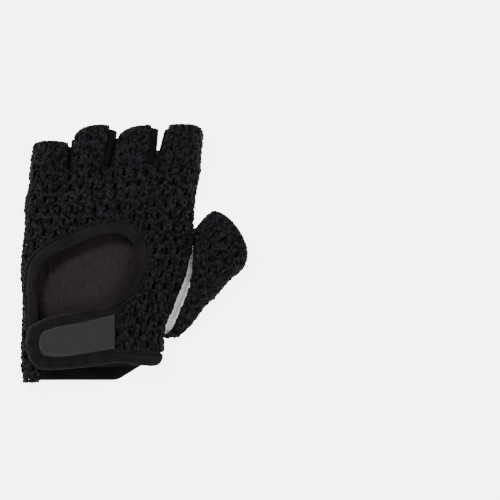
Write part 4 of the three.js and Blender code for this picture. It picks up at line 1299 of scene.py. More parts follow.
@dataclass
class Palm:
    """The white leather under the hand: palm and finger fronts, pad, seams, lining and hem; the lining's run
    up the outer side is painted shade.
    """

    form: HandForm
    back: Back
    wrist_at: float = 0.014
    corner: float = 0.07
    corner_from: float = 0.61
    corner_span: float = 0.4
    hem_width: float = 7.2
    hem_thickness: float = 2.6
    hem_overlap: float = 0.6
    hem_tuck: float = 0.2
    hem_sides: int = 20
    hem_round: tuple[float, float] = (0.75, 0.8)
    lining: float = 0.9
    lining_ends: tuple[float, float] = (0.07, 0.825)
    # Where the lining starts on the hand's outer side; its run from here past the side seam is painted shade
    # under the crochet.
    side_shade_from: float = 158.0  # degrees round the hand, on its outer side
    lining_tuck: float = 2.7
    tuck_span: tuple[float, float] = (8.0, 14.0)  # degrees past the side seam
    lining_crown: float = 5.5  # how far it is raised in the middle, with air under it
    crown_start: tuple[float, float] = (0.14, 0.3)  # where it rises along the glove, and over how much
    crown_stop: tuple[float, float] = (0.8, 0.16)
    crown_outer: tuple[float, float] = (4.0, 40.0)  # the same in degrees from its two sides
    crown_inner: float = 30.0
    lining_ripple: float = 0.25
    ripple_lengths: tuple[float, float] = (9.0, 23.0)
    lining_fold: float = 1.1
    fold_at: tuple[float, float] = (-0.36, 0.42)
    fold_slant: float = 0.12
    fold_width: float = 1.3
    thumb_seam_gap: float = 0.9
    cutter_low: float = -20.0
    cutter_high: float = 11.5
    pad_gap: float = 0.45
    pad_edge: float = 3.2  # the width of the pad's round edge
    pad_round: float = 0.55
    quilt_width: float = 1.1
    quilt_depth: float = 0.34
    quilt_most: float = 0.96
    seam_half: float = 1.0
    seam_clear: float = 1.5
    seam_points: int = 20
    thread: float = 0.22
    pad_rows: Table = field(
        default_factory=lambda: Table(
            "at left right sink",
            (0.312, -0.4, 0.0, 0.7),
            (0.322, -0.43, 0.004, 0.2),
            (0.345, -0.442, 0.008, 0.0),
            (0.42, -0.448, 0.04, 0.0),
            (0.52, -0.44, 0.105, 0.0),
            (0.6, -0.43, 0.185, 0.0),
            (0.616, -0.43, 0.21, 0.0),
            (0.626, -0.43, 0.42, 0.4),
            (0.637, -0.43, 0.426, 0.0),
            (0.69, -0.43, 0.43, 0.0),
            (0.708, -0.426, 0.426, 0.25),
            (0.716, -0.41, 0.41, 0.75),
        )
    )
    lining_rows: Table = field(
        default_factory=lambda: Table(
            "at right",
            (0.11, 0.19),
            (0.16, 0.22),
            (0.3, 0.24),
            (0.5, 0.32),
            (0.62, 0.4),
            (0.73, 0.42),
        )
    )

    def wrist_y(self, f: int, s: Array) -> Array:
        """Where the leather begins above its hem."""
        across = (f + s) / 4
        at = self.wrist_at + self.corner * smooth((across - self.corner_from) / self.corner_span)
        return at * self.form.length + self.hem_width + self.form.seam

    def strip(self, f: int, inset: float, columns: int, rows: int, finger_rows: int) -> Array:
        """A finger's strip of the palm from the wrist to its end, as a grid of points."""
        s = np.linspace(0, 1, columns)
        wrist, crotch = self.wrist_y(f, s), self.form.crotch(f, s)
        end = self.back.finger_end(f, s, "leather")
        t = np.linspace(0, 1, rows)[:, None]
        u = np.linspace(0, 1, finger_rows)[:, None]
        y = np.vstack([lerp(wrist, crotch, t), lerp(crotch + self.form.seam, end, u)])
        return self.form.palm_point(f, np.broadcast_to(s, y.shape), y, inset)

    def leather(self, finish: bpy.types.Material, lining: bpy.types.Material) -> None:
        """Make the palm leather, cut back along the thumb's seam."""
        parts = MeshParts(self.form.shift)
        for f in range(4):
            single_sheet(parts, self.strip(f, 0.0, 17, 64, 16)[:, ::-1])
        obj = parts.piece("palm_leather_skin", [finish, lining], Slot.LEATHER, "palm_leather")
        weld(obj)
        thick = obj.modifiers.new("thickness", "SOLIDIFY")
        thick.thickness = self.form.leather * MM
        thick.offset = -1.0
        thick.material_offset = 1
        cutter = self.thumb_cutter()
        cut = obj.modifiers.new("thumb seam", "BOOLEAN")
        cut.object = cutter
        cut.operation = "DIFFERENCE"
        cut.solver = "EXACT"
        settle(obj)
        bpy.data.objects.remove(cutter)

    def seam_line(self, extra: float) -> Array:
        """The thumb seam's line in plan, moved towards the hand by extra."""
        form = self.form
        k = np.linspace(0, 5, 60)
        line = np.column_stack(
            [form.thumb_seam.value("x", k) * form.width, form.thumb_seam.value("y", k) * form.length]
        )
        return moved(line, extra)

    def thumb_cutter(self) -> bpy.types.Object:
        """A block with the outline of what the palm leather leaves to the thumb."""
        gap, right = self.thumb_seam_gap, self.form.width
        line = self.seam_line(gap)
        first = [[right, line[0, 1] - gap], [line[0, 0], line[0, 1] - gap]]
        last = [[line[-1, 0], line[-1, 1] + gap], [right, line[-1, 1] + gap]]
        plan = (np.vstack([first, line[1:], last]) + self.form.shift[:2]) * MM
        net = bmesh.new()
        low = [net.verts.new((x, y, self.cutter_low * MM)) for x, y in plan]
        net.faces.new(low)
        top = bmesh.ops.extrude_face_region(net, geom=list(net.faces))
        for v in top["geom"]:
            if isinstance(v, bmesh.types.BMVert):
                v.co.z = self.cutter_high * MM
        bmesh.ops.recalc_face_normals(net, faces=net.faces)
        mesh = bpy.data.meshes.new("thumb_room")
        net.to_mesh(mesh)
        net.free()
        cutter = bpy.data.objects.new("thumb_room", mesh)
        bpy.context.scene.collection.objects.link(cutter)
        return cutter

    def lining_and_side_shade(self, finish: bpy.types.Material) -> None:
        """Make the dark lining that shows through the keyhole; where it runs up the hand's outer side under
        the crochet, it is painted shade that darkens the net's holes.
        """
        form = self.form
        t = np.linspace(*self.lining_ends, 100)[:, None]
        u = np.linspace(0, 1, 90)[None, :]
        y = np.broadcast_to(t * form.length, (100, 90))
        section = form.hand_section(y)
        seam = form.hand_seams(y)[0]
        share = (self.lining_rows.value("right", t) * form.width - section.centre) / section.half
        end = 360 - np.degrees(np.arccos(share ** (FLOOR_POWER / 2)))
        angle = lerp(self.side_shade_from, end, u)
        past, span = self.tuck_span
        low = lerp(form.leather + form.seam, self.lining_tuck, smooth((seam + past - angle) / span))
        (start, rise), (stop, fall), (side, turn) = self.crown_start, self.crown_stop, self.crown_outer
        crown = smooth((t - start) / rise) * smooth((stop - t) / fall)
        crown = crown * smooth((angle - seam - side) / turn) * smooth((end - angle) / self.crown_inner)
        top, under = section.point(angle, y, low + self.lining), section.point(angle, y, low)
        x, along = top[..., 0], top[..., 1]
        from_fold = x - self.fold_at[0] * form.width
        from_fold = from_fold + self.fold_slant * (along - self.fold_at[1] * form.length)
        fold = np.exp(-((from_fold / self.fold_width) ** 2))
        ripple_x, ripple_y = self.ripple_lengths
        top[..., 2] += self.lining_ripple * np.sin(x / ripple_x + along / ripple_y)
        top[..., 2] += self.lining_fold * fold * (angle > seam)
        for face in (top, under):
            face[..., 2] += self.lining_crown * crown
        parts = MeshParts(form.shift)
        closed_sheet(parts, top, under)
        parts.piece("lining_and_side_shade", finish, Slot.LINING, "palm_lining")

    def pad_outline(self) -> Array:
        """The pad's outline in plan."""
        form, rows = self.form, self.pad_rows
        y = rows.column("at") * form.length
        left = np.column_stack([rows.column("left") * form.width, y])
        right = np.column_stack([rows.column("right") * form.width, y])
        return np.vstack([left, right[::-1], left[:1]])

    def seams(self) -> dict[str, Array]:
        """The lines along which the pad and the palm are quilted."""
        return {name: spline(shares(self.form, *points), 120) for name, points in PALM_SEAMS.items()}

    def pad_under(self, plan: Array) -> Array:
        """Height of the pad's underside over plan points inside its outline."""
        top = self.form.palm_height(plan[..., 0], plan[..., 1]) - self.pad_gap
        edge = distance_to(plan, self.pad_outline())
        fall = 1 - smooth(edge / self.pad_edge) ** self.pad_round
        lines = self.seams().values()
        quilt = sum(np.exp(-((distance_to(plan, line) / self.quilt_width) ** 2)) for line in lines)
        drawn = np.clip(fall + self.quilt_depth * np.minimum(quilt, 1.0), 0.0, self.quilt_most)
        return np.maximum(top * drawn, 0.0)

    def pad(self, finish: bpy.types.Material) -> None:
        """Make the pad across the palm."""
        form, rows = self.form, self.pad_rows
        steps = np.linspace(0, 1, len(rows.rows))
        at = np.interp(np.linspace(0, 1, 120), steps, rows.column("at"))[:, None]
        u = (1 - np.cos(np.linspace(0, 1, 110) * math.pi)) / 2
        left, right = (np.interp(at, rows.column("at"), rows.column(n)) for n in ("left", "right"))
        x = lerp(left, right, u) * form.width
        plan = np.stack(np.broadcast_arrays(x, at * form.length), axis=-1)
        top = form.palm_height(plan[..., 0], plan[..., 1]) - self.pad_gap
        parts = MeshParts(form.shift)
        above = np.concatenate([plan, top[..., None]], axis=-1)
        below = np.concatenate([plan, self.pad_under(plan)[..., None]], axis=-1)
        closed_sheet(parts, above, below)
        obj = parts.piece("palm_pad_quilted", finish, Slot.LEATHER, "palm_pad")

    def under(self, plan: Array) -> Array:
        """Points of the underside over plan points: the pad where it is, else the leather."""
        height = self.form.palm_height(plan[:, 0], plan[:, 1])
        inside = inside_outline(plan, self.pad_outline())
        return np.column_stack([plan, np.where(inside, self.pad_under(plan), height)])

    def stitching(self, finish: bpy.types.Material) -> None:
        """Sew the palm's double seams."""
        parts = MeshParts(self.form.shift)
        for line in self.seams().values():
            for side in (-self.seam_half, self.seam_half):
                path = moved(line, side)
                keep = distance_to(path, self.seam_line(0.0)) > self.seam_clear
                points = self.under(path[keep] if keep.sum() > self.seam_points else path)
                down = np.tile([0.0, 0.0, -1.0], (len(points), 1))
                Stitching(Yarn(self.thread)).sew(parts, points, down)
        parts.piece("palm_stitches", finish, Slot.LEATHER, "palm_leather")

    def hem(self, finish: bpy.types.Material) -> None:
        """Make the tape on the palm's wrist edge."""
        ring = np.arange(self.hem_sides) / self.hem_sides * TURN
        c, n = np.cos(ring), np.sin(ring)
        across = (np.sign(c) * np.abs(c) ** self.hem_round[0] + 1) / 2
        inwards = (np.sign(n) * np.abs(n) ** self.hem_round[1] + 1) / 2
        rings = []
        for at in np.linspace(-self.hem_tuck, 4, 150):
            f = min(max(int(at), 0), 3)
            s = np.full(self.hem_sides, at - f)
            y = self.wrist_y(f, s) + self.hem_overlap - (self.hem_width + self.hem_overlap) * across
            outer = self.form.palm_point(f, s, y, 0.0)
            deep = self.form.palm_point(f, s, y, self.hem_thickness)
            rings.append(lerp(outer, deep, inwards[:, None]))
        parts = MeshParts(self.form.shift)
        sweep(parts, np.array(rings))
        parts.piece("palm_hem_tape", finish, Slot.TAPE, "palm_hem")

    def build(self, finishes: dict[str, bpy.types.Material]) -> None:
        """Make the palm's pieces."""
        self.leather(finishes["leather"], finishes["lining"])
        self.lining_and_side_shade(finishes["lining"])
        self.pad(finishes["leather"])
        self.stitching(finishes["white_thread"])
        self.hem(finishes["tape"])


@dataclass
class Thumb:
    """The thumb's leather front and the white web beside the hand."""

    form: HandForm
    web_from: float = 0.3
    web_to: float = 5.7
    web_depth: float = 1.3
    web_overlap: float = 0.5
    tip_bow: float = 3.2

    def leather(self, finish: bpy.types.Material, lining: bpy.types.Material) -> None:
        """Make the leather under the thumb, from the palm's seam to the crochet's outer edge."""
        form = self.form
        t = np.linspace(0, form.thumb_end, 100)
        at = form.thumb_seam.value("section", t)
        _, outer, section, wrap = form.thumb_frame(at)
        edge = form.thumb_point(at, -wrap - form.gap_angle)
        seam = np.column_stack(
            [form.thumb_seam.value("x", t) * form.width, form.thumb_seam.value("y", t) * form.length]
        )
        rise = np.maximum(form.thumb_seam.value("rise", t) * form.loft - form.thumb_floor, 0)

        def skin(lift: float) -> Array:
            """One of the leather's two faces."""
            trim = form.leather / np.linalg.norm(edge[:, :2] - seam, axis=-1) if lift else 0.0 * t
            u = (1 - np.cos(np.linspace(0, 1, 60) * math.pi)) / 2
            across = (1 - trim[:, None]) * u
            plan = lerp(seam[:, None], edge[:, None, :2], across[..., None])
            bow = form.thumb_bow(t[:, None], across, self.tip_bow)
            axis = unit(edge[:, :2] - seam)
            plan = plan + np.column_stack([-axis[:, 1], axis[:, 0]])[:, None] * bow[..., None]
            to_edge = np.linalg.norm(outer[:, None] - plan, axis=-1)
            to_seam = np.linalg.norm(seam[:, None] - plan, axis=-1)

            def profile(distance: Array) -> Array:
                """How far the underside has risen towards its side."""
                share = np.clip(1 - distance / section.half[:, None], 0, 1)
                return 1 - (1 - share**FLOOR_POWER) ** (1 / FLOOR_POWER)

            z = form.thumb_floor + profile(to_edge) * (section.side[:, None] - form.thumb_floor)
            z = z + profile(to_seam) * rise[:, None] + lift
            return np.concatenate([plan, z[..., None]], axis=-1)

        parts = MeshParts(form.shift)
        closed_sheet(parts, skin(0.0)[:, ::-1], skin(form.leather)[:, ::-1], inner_mark=1)
        parts.piece("thumb_leather_skin", [finish, lining], Slot.LEATHER, "thumb_leather")

    def web(self, finish: bpy.types.Material) -> None:
        """Make the web between the hand's side and the thumb."""
        form = self.form
        t = np.linspace(0, 1, 70)
        k = lerp(self.web_from, self.web_to, t)
        inner, _, section, _ = form.thumb_frame(k)
        hand = form.hand_section(inner[:, 1])
        side = hand.centre + hand.half - self.web_overlap
        start = np.column_stack([side, inner[:, 1], hand.side - form.seam])
        end = np.column_stack([inner[:, 0] + self.web_overlap, inner[:, 1], section.side - form.seam])
        middle = (start + end) / 2
        middle[:, 2] = np.minimum(start[:, 2], end[:, 2]) - self.web_depth * smooth(2 * t)
        pull = 2 * middle - (start + end) / 2
        u = np.linspace(0, 1, 14)[None, :, None]
        top = start[:, None] * (1 - u) ** 2 + 2 * pull[:, None] * u * (1 - u) + end[:, None] * u**2
        parts = MeshParts(form.shift)
        closed_sheet(parts, top, top - grid_normals(top) * form.leather)
        parts.piece("thumb_web_leather", finish, Slot.LEATHER, "thumb_web")

    def build(self, finishes: dict[str, bpy.types.Material]) -> None:
        """Make the thumb's leather pieces."""
        self.leather(finishes["leather"], finishes["lining"])
        self.web(finishes["leather"])


@dataclass
class SideCloths:
    """The smooth dark cloth between two fingers: up one side, round the crotch and down the other."""

    form: HandForm
    back: Back
    thickness: float = 1.0
    bulge: float = 0.5
    sink: float = 1.6
    sink_from: float = 0.7
    sink_span: float = 0.3
    side_dip: float = 2.2
    top_dip: float = 1.0
    tuck: float = 5.0
    crotch_gap: float = -4.0
    web_top: float = 0.6
    web_lean: tuple[float, ...] = (2.4, 2.4, 8.5)  # how far each web's lower edge stands out
    web_half: float = 0.16  # half the share of the cloth that is web
    web_flat: float = 0.12
    rows: int = 14
    columns: int = 61

    def arm(self, g: int, f: int, y: Array, v: Array, inset: float) -> Array:
        """Points of the cloth on one finger's side."""
        form = self.form
        crotch = form.crotch_at[f + 1] * form.length
        gap = lerp(self.crotch_gap, -self.tuck, smooth((y - crotch) / form.side_wrap))
        top = form.finger(g, "shoulder_r" if g == f else "shoulder_l") - gap
        angle = lerp(gap - form.leather_edge, top, v)
        section = form.finger_section(g, y)
        along = smooth((y - crotch) / form.side_wrap - 0.2)
        sink = lerp(-self.bulge, self.sink * along, smooth((v - self.sink_from) / self.sink_span))
        return section.point(angle if g == f else 180 - angle, y, inset + sink)

    def skin(self, f: int, inset: float) -> Array:
        """One face of the cloth between finger f and the next."""
        form = self.form
        v = np.linspace(0, 1, self.rows)[:, None]
        t = np.linspace(-1, 1, self.columns)[None, :]
        share = np.abs(t)
        crotch = form.crotch_at[f + 1] * form.length
        faces = []
        for g, s in ((f, 1.0), (f + 1, 0.0)):
            leather = float(self.back.finger_end(g, np.array(s), "leather")) - self.side_dip
            crochet = float(self.back.finger_end(g, np.array(s), "reach"))
            end = lerp(leather, crochet - self.top_dip, v)
            start = crotch + lerp(self.web_lean[f], self.web_top, v)
            y = lerp(start, end, np.clip((share - self.web_flat) / (1 - self.web_flat), 0, 1))
            faces.append(self.arm(g, f, y, np.broadcast_to(v, y.shape), inset))
        mix = smooth((t + self.web_half) / (2 * self.web_half))[..., None]
        mixed = lerp(faces[0], faces[1], np.broadcast_to(mix, faces[0].shape[:2] + (1,)))
        mixed[..., 1] -= inset * (1 - smooth(share / self.web_half))
        return mixed

    def build(self, finish: bpy.types.Material) -> None:
        """Make the three cloths."""
        for f, node in enumerate(("side_ring_little", "side_middle_ring", "side_index_middle")):
            parts = MeshParts(self.form.shift)
            closed_sheet(parts, self.skin(f, 0.0)[:, ::-1], self.skin(f, self.thickness)[:, ::-1])
            parts.piece(f"{node}_cloth", finish, Slot.SIDE, node)


def linear(colour: str) -> tuple[float, ...]:
    """An sRGB hex colour as linear RGBA."""
    parts = [int(colour[i : i + 2], 16) / 255 for i in (1, 3, 5)]
    return (*(c / 12.92 if c <= 0.04045 else ((c + 0.055) / 1.055) ** 2.4 for c in parts), 1.0)


def add_node(
    tree: bpy.types.NodeTree,
    kind: str,
    inputs: dict[str | int, object] | None = None,
    **settings: object,
) -> bpy.types.Node:
    """Add a node with its settings and links.

    Args:
        tree: The node tree it joins.
        kind: The node's type.
        inputs: Values for its inputs, or the sockets that are linked to them.
        settings: Its own settings.

    Returns:
        The node.
    """
    node = tree.nodes.new(kind)
    for name, value in settings.items():
        setattr(node, name, value)
    for key, value in (inputs or {}).items():
        if isinstance(value, bpy.types.NodeSocket):
            tree.links.new(value, node.inputs[key])
        else:
            node.inputs[key].default_value = value
    return node


def millimetres(
    tree: bpy.types.NodeTree, stretch: tuple[float, float, float] = (1, 1, 1)
) -> bpy.types.NodeSocket:
    """Object coordinates in millimetres, stretched along the axes."""
    place = add_node(tree, "ShaderNodeTexCoord")
    scaled = add_node(
        tree,
        "ShaderNodeVectorMath",
        {0: place.outputs["Object"], 1: tuple(1000 * v for v in stretch)},
        operation="MULTIPLY",
    )
    return scaled.outputs[0]


def cloth_coords(tree: bpy.types.NodeTree, angle: float) -> bpy.types.NodeSocket:
    """The mesh's own surface coordinates in millimetres, turned by an angle in degrees."""
    place = add_node(tree, "ShaderNodeUVMap", uv_map="cloth")
    turned = add_node(
        tree,
        "ShaderNodeVectorRotate",
        {"Vector": place.outputs["UV"], "Angle": math.radians(angle)},
        rotation_type="Z_AXIS",
    )
    return turned.outputs[0]


def noise(tree: bpy.types.NodeTree, scale: float, detail: float) -> bpy.types.NodeSocket:
    """Noise in the solid, with its scale in patches a millimetre."""
    inputs = {"Vector": millimetres(tree), "Scale": scale, "Detail": detail}
    return add_node(tree, "ShaderNodeTexNoise", inputs).outputs["Fac"]


def waves(
    tree: bpy.types.NodeTree, angle: float, length: float, waver: float, detail: float
) -> bpy.types.NodeSocket:
    """Waves over the cloth, at an angle in degrees and a length in millimetres."""
    inputs = {
        "Vector": cloth_coords(tree, angle),
        "Scale": WAVE_LENGTH / length,
        "Distortion": waver,
        "Detail": detail,
    }
    return add_node(tree, "ShaderNodeTexWave", inputs).outputs["Fac"]


def merge(
    tree: bpy.types.NodeTree, operation: str, first: bpy.types.NodeSocket, second: bpy.types.NodeSocket
) -> bpy.types.NodeSocket:
    """Two values added or multiplied."""
    return add_node(tree, "ShaderNodeMath", {0: first, 1: second}, operation=operation).outputs[0]


def spread(
    tree: bpy.types.NodeTree,
    value: bpy.types.NodeSocket,
    span: tuple[float, float],
    to: tuple[float, float] = (0.0, 1.0),
) -> bpy.types.NodeSocket:
    """A value's span spread over another, and clipped there."""
    inputs = {"Value": value, "From Min": span[0], "From Max": span[1], "To Min": to[0], "To Max": to[1]}
    return add_node(tree, "ShaderNodeMapRange", inputs).outputs[0]


@dataclass(frozen=True)
class Finish:
    """A material's name and its shader's constants."""

    name: str
    dark: str
    light: str
    roughness: float
    sheen: float = 0.0
    sheen_roughness: float = 0.5
    ior: float = 1.5
    specular: float = 0.5
    bump: float = 0.3
    relief: float = 0.3  # millimetres

    def start(self) -> tuple[bpy.types.Material, bpy.types.NodeTree, bpy.types.Node]:
        """A new material with its shader."""
        material = bpy.data.materials.new(self.name)
        material.use_nodes = True
        tree = material.node_tree
        tree.nodes.clear()
        shader = add_node(
            tree,
            "ShaderNodeBsdfPrincipled",
            {
                "Roughness": self.roughness,
                "IOR": self.ior,
                "Specular IOR Level": self.specular,
                "Sheen Weight": self.sheen,
                "Sheen Roughness": self.sheen_roughness,
            },
        )
        add_node(tree, "ShaderNodeOutputMaterial", {"Surface": shader.outputs["BSDF"]})
        return material, tree, shader

    def tones(self, tree: bpy.types.NodeTree, shader: bpy.types.Node, mix: bpy.types.NodeSocket) -> None:
        """Run the base colour from dark to light."""
        ramp = add_node(tree, "ShaderNodeValToRGB", {"Fac": mix})
        ramp.color_ramp.elements[0].color = linear(self.dark)
        ramp.color_ramp.elements[1].color = linear(self.light)
        tree.links.new(ramp.outputs["Color"], shader.inputs["Base Color"])

    def raised(self, tree: bpy.types.NodeTree, shader: bpy.types.Node, height: bpy.types.NodeSocket) -> None:
        """Give the surface its relief."""
        inputs = {"Height": height, "Strength": self.bump, "Distance": self.relief * MM}
        bump = add_node(tree, "ShaderNodeBump", inputs)
        tree.links.new(bump.outputs["Normal"], shader.inputs["Normal"])


@dataclass(frozen=True)
class CottonYarn(Finish):
    """Soft plied cotton, dyed and crocheted: matt, with slanting plies, fibres that break its rims, and
    painted light and shade in blotches the size of a loop.
    """

    bump: float = 0.55
    relief: float = 0.35
    ply: float = 1.0
    ply_angle: float = 52.0
    ply_waver: float = 1.5
    fibres: float = 2.2
    # Blotches about this many millimetres across, run from the dark colour to the light: painted light and
    # shade for the lit tops and shaded sides of the loops.
    loop: float = 2.4
    loop_shade_span: tuple[float, float] = (0.36, 0.68)

    def material(self) -> bpy.types.Material:
        """Build the material."""
        material, tree, shader = self.start()
        plies = waves(tree, self.ply_angle, self.ply, self.ply_waver, 2.0)
        fibres = noise(tree, self.fibres, 4.0)
        # Painted light and shade of the loops, in random blotches.
        loops = noise(tree, 1 / self.loop, 1.5)
        self.tones(tree, shader, spread(tree, loops, self.loop_shade_span))
        self.raised(tree, shader, merge(tree, "ADD", plies, fibres))
        return material


@dataclass(frozen=True)
class StretchJersey(Finish):
    """Black cotton and elastane jersey, weft knitted: matt and even, with fine ribs along the tape."""

    bump: float = 0.35
    relief: float = 0.25
    rib: float = 0.7
    rib_waver: float = 0.8
    lint: float = 1.4
    cloud: float = 0.12
    tone_span: tuple[float, float] = (0.14, 0.4)

    def material(self) -> bpy.types.Material:
        """Build the material."""
        material, tree, shader = self.start()
        ribs = waves(tree, 0.0, self.rib, self.rib_waver, 1.0)
        lint = noise(tree, self.lint, 5.0)
        mixed = merge(tree, "MULTIPLY", lint, noise(tree, self.cloud, 2.0))
        self.tones(tree, shader, spread(tree, mixed, self.tone_span))
        self.raised(tree, shader, merge(tree, "ADD", ribs, lint))
        return material


@dataclass(frozen=True)
class SplitLeather(Finish):
    """White split leather, tanned and buffed: chalky, with a short nap, soft creases and grey specks."""

    relief: float = 0.4
    grain: float = 1.1
    crease: float = 0.16
    crease_width: float = 0.12
    cloud: float = 0.07
    speck_span: tuple[float, float] = (0.34, 0.5)
    speck_least: float = 0.35
    tone_span: tuple[float, float] = (0.15, 0.5)

    def material(self) -> bpy.types.Material:
        """Build the material."""
        material, tree, shader = self.start()
        nap = noise(tree, 1 / self.grain, 6.0)
        crease = add_node(
            tree,
            "ShaderNodeTexVoronoi",
            {"Vector": millimetres(tree), "Scale": self.crease},
            feature="DISTANCE_TO_EDGE",
        )
        specks = spread(tree, nap, self.speck_span, (self.speck_least, 1.0))
        mixed = merge(tree, "MULTIPLY", specks, noise(tree, self.cloud, 3.0))
        self.tones(tree, shader, spread(tree, mixed, self.tone_span))
        lines = spread(tree, crease.outputs["Distance"], (0.0, self.crease_width))
        self.raised(tree, shader, merge(tree, "ADD", nap, lines))
        return material


@dataclass(frozen=True)
class BrushedKnit(Finish):
    """Brushed polyester knit, dyed brown-black: a dull pile with faint streaks along its courses."""

    streak: float = 1.6
    streak_stretch: tuple[float, float] = (0.26, 0.4)
    pile: float = 1.5
    tone_span: tuple[float, float] = (0.12, 0.42)

    def material(self) -> bpy.types.Material:
        """Build the material."""
        material, tree, shader = self.start()
        coords = millimetres(tree, (1 / self.streak, *self.streak_stretch))
        streaks = add_node(tree, "ShaderNodeTexNoise", {"Vector": coords, "Scale": 1.0, "Detail": 3.0})
        pile = noise(tree, self.pile, 5.0)
        mixed = merge(tree, "MULTIPLY", streaks.outputs["Fac"], pile)
        self.tones(tree, shader, spread(tree, mixed, self.tone_span))
        self.raised(tree, shader, pile)
        return material


@dataclass(frozen=True)
class MouldedRubber(Finish):
    """Injection moulded PVC rubber, dark grey: smooth and satin, with a fine spark-eroded grain."""

    bump: float = 0.2
    relief: float = 0.2
    grain: float = 0.5
    dust: float = 0.09
    roughness_play: float = 0.06

    def material(self) -> bpy.types.Material:
        """Build the material."""
        material, tree, shader = self.start()
        grain = noise(tree, 1 / self.grain, 3.0)
        self.tones(tree, shader, noise(tree, self.dust, 2.0))
        least, most = self.roughness - self.roughness_play, self.roughness + self.roughness_play
        tree.links.new(spread(tree, grain, (0.0, 1.0), (least, most)), shader.inputs["Roughness"])
        self.raised(tree, shader, grain)
        return material


@dataclass
class Studio:
    """A white sweep of floor under soft light, with the camera straight above."""

    distance: float = 2.0
    focal: float = 232.0
    aside: tuple[float, float] = (0.0715, 0.0024)
    sensor: float = 36.0
    floor_size: float = 4.0
    floor_glow: float = 5.0
    key_place: tuple[float, float, float] = (-0.7, 0.9, 1.5)
    key_size: float = 0.6
    key_power: float = 32.0
    fill_place: tuple[float, float, float] = (0.9, -0.5, 1.3)
    fill_size: float = 1.2
    fill_power: float = 10.0
    sky: float = 0.45

    def floor(self) -> None:
        """Make the floor."""
        half = self.floor_size / 2
        mesh = bpy.data.meshes.new("floor")
        corners = [(-half, -half, 0), (half, -half, 0), (half, half, 0), (-half, half, 0)]
        mesh.from_pydata(corners, [], [(0, 1, 2, 3)])
        paint = Finish("matt_white_card", "#ffffff", "#ffffff", 0.9)
        material, tree, shader = paint.start()
        shader.inputs["Emission Color"].default_value = (1.0, 1.0, 1.0, 1.0)
        shader.inputs["Emission Strength"].default_value = self.floor_glow
        haze = add_node(tree, "ShaderNodeTexNoise", {"Vector": millimetres(tree), "Scale": 0.01})
        paint.tones(tree, shader, haze.outputs["Fac"])
        mesh.materials.append(material)
        floor = bpy.data.objects.new("floor", mesh)
        bpy.context.scene.collection.objects.link(floor)

    def light(self, name: str, place: tuple[float, float, float], size: float, power: float) -> None:
        """Add a soft light that faces the glove."""
        lamp = bpy.data.lights.new(name, "AREA")
        lamp.shape = "DISK"
        lamp.size = size
        lamp.energy = power
        obj = bpy.data.objects.new(name, lamp)
        obj.location = place
        obj.rotation_euler = (-Vector(place)).to_track_quat("-Z", "Y").to_euler()
        bpy.context.scene.collection.objects.link(obj)

    def build(self) -> None:
        """Make the camera, the lights, the sky and the floor."""
        low, high = (np.array(corner) for corner in CAD_BOX)
        middle = (low + high) / 2
        lens = bpy.data.cameras.new("camera")
        lens.lens = self.focal
        lens.sensor_width = self.sensor
        camera = bpy.data.objects.new("camera", lens)
        camera.location = (middle[0] + self.aside[0], middle[1] + self.aside[1], self.distance)
        bpy.context.scene.collection.objects.link(camera)
        bpy.context.scene.camera = camera
        self.floor()
        self.light("key", self.key_place, self.key_size, self.key_power)
        self.light("fill", self.fill_place, self.fill_size, self.fill_power)
        world = bpy.data.worlds.new("white room")
        world.use_nodes = True
        background = world.node_tree.nodes["Background"]
        background.inputs["Color"].default_value = (1.0, 1.0, 1.0, 1.0)
        background.inputs["Strength"].default_value = self.sky
        bpy.context.scene.world = world


# The keyhole's edge, as shares of the palm's width and the glove's length.
OPENING = (
    (-0.418, 0.2),
    (-0.432, 0.33),
    (-0.433, 0.385),
    (-0.42, 0.44),
    (-0.335, 0.497),
    (-0.22, 0.532),
    (-0.1, 0.567),
    (0.005, 0.582),
    (0.095, 0.57),
    (0.147, 0.528),
    (0.155, 0.47),
    (0.118, 0.4),
    (0.06, 0.345),
    (0.0, 0.305),
)
# The palm's quilted seams, as shares of the same two.
PALM_SEAMS = {
    "heel": (
        (-0.42, 0.627),
        (-0.24, 0.628),
        (-0.06, 0.627),
        (-0.072, 0.523),
        (-0.143, 0.457),
        (-0.232, 0.43),
        (-0.42, 0.422),
    ),
    "cross": ((-0.45, 0.31), (-0.2, 0.3075), (0.064, 0.306), (0.194, 0.33), (0.3, 0.36)),
    "gusset": (
        (0.218, 0.635),
        (0.111, 0.507),
        (0.058, 0.407),
        (0.028, 0.349),
        (0.058, 0.272),
        (0.159, 0.187),
    ),
    "knuckle": ((-0.43, 0.724), (-0.2, 0.726), (0.0, 0.728), (0.2, 0.726), (0.43, 0.722)),
}
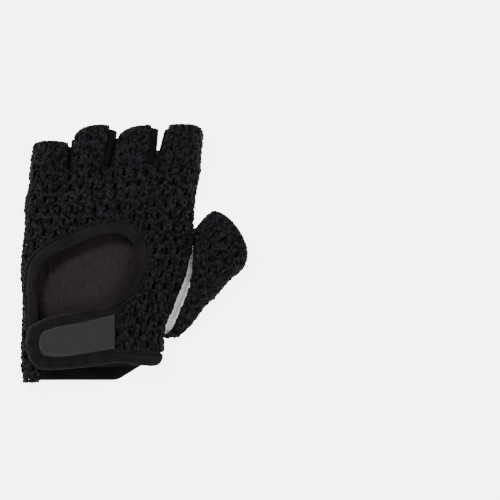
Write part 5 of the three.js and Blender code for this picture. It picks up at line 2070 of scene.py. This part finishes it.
# The binding round the strap and along the wrist: places as above, then its width in millimetres.
STRAP_EDGE = (
    (-0.03, 0.299, 5.0),
    (-0.09, 0.2945, 4.6),
    (-0.17, 0.287, 4.6),
    (-0.26, 0.277, 5.0),
    (-0.35, 0.263, 5.4),
    (-0.418, 0.2434, 5.8),
    (-0.456, 0.2252, 6.2),
    (-0.475, 0.2005, 6.6),
    (-0.48, 0.1576, 6.8),
    (-0.473, 0.1294, 7.0),
    (-0.451, 0.0935, 7.2),
    (-0.407, 0.0649, 7.4),
    (-0.33, 0.0615, 7.5),
    (-0.24, 0.065, 7.5),
    (-0.16, 0.069, 7.5),
    (-0.08, 0.0746, 7.6),
    (0.0, 0.083, 7.8),
    (0.06, 0.086, 8.0),
    (0.146, 0.078, 8.6),
    (0.208, 0.074, 8.8),
    (0.25, 0.072, 8.9),
    (0.3, 0.077, 8.6),
    (0.335, 0.087, 7.8),
    (0.36, 0.098, 7.0),
)
# What each part is made of: the finish's name, its darkest and lightest colour and its roughness first.
FINISHES = {
    "yarn": CottonYarn("crocheted_black_cotton", "#010102", "#262429", 0.9, sheen=0.03, specular=0.1),
    "tape": StretchJersey("weft_knit_black_jersey", "#121012", "#201d20", 0.95, sheen=0.02, specular=0.08),
    "leather": SplitLeather("buffed_white_split_leather", "#efedea", "#ffffff", 0.85, sheen=0.1),
    "lining": BrushedKnit("brushed_brown_black_knit", "#231e1f", "#2f292a", 0.95, sheen=0.04, specular=0.1),
    "side": BrushedKnit("plain_black_side_knit", "#070708", "#111011", 0.9, sheen=0.02, specular=0.1),
    "rubber": MouldedRubber("moulded_dark_grey_rubber", "#242424", "#2b2a2a", 0.6, specular=0.2),
    "hook": BrushedKnit("black_hook_tape", "#0c0c0d", "#181819", 0.7, specular=0.1),
    "black_thread": CottonYarn("black_polyester_thread", "#060507", "#151317", 0.7, specular=0.2),
    "white_thread": CottonYarn("white_polyester_thread", "#dcdad6", "#f2f0ec", 0.7),
}


def main() -> None:
    """Build the glove, its finishes and the studio."""
    form = HandForm()
    opening = spline(shares(form, *OPENING), 110)
    finishes = {part: finish.material() for part, finish in FINISHES.items()}
    back = Back(form, opening)
    Studio().build()
    back.build(finishes["yarn"], finishes["side"])
    Wrist(form, opening).build(finishes)
    Palm(form, back).build(finishes)
    Thumb(form).build(finishes)
    SideCloths(form, back).build(finishes["side"])


if __name__ == "__main__":
    logging.basicConfig(level=logging.INFO, format="%(name)s: %(message)s")
    main()
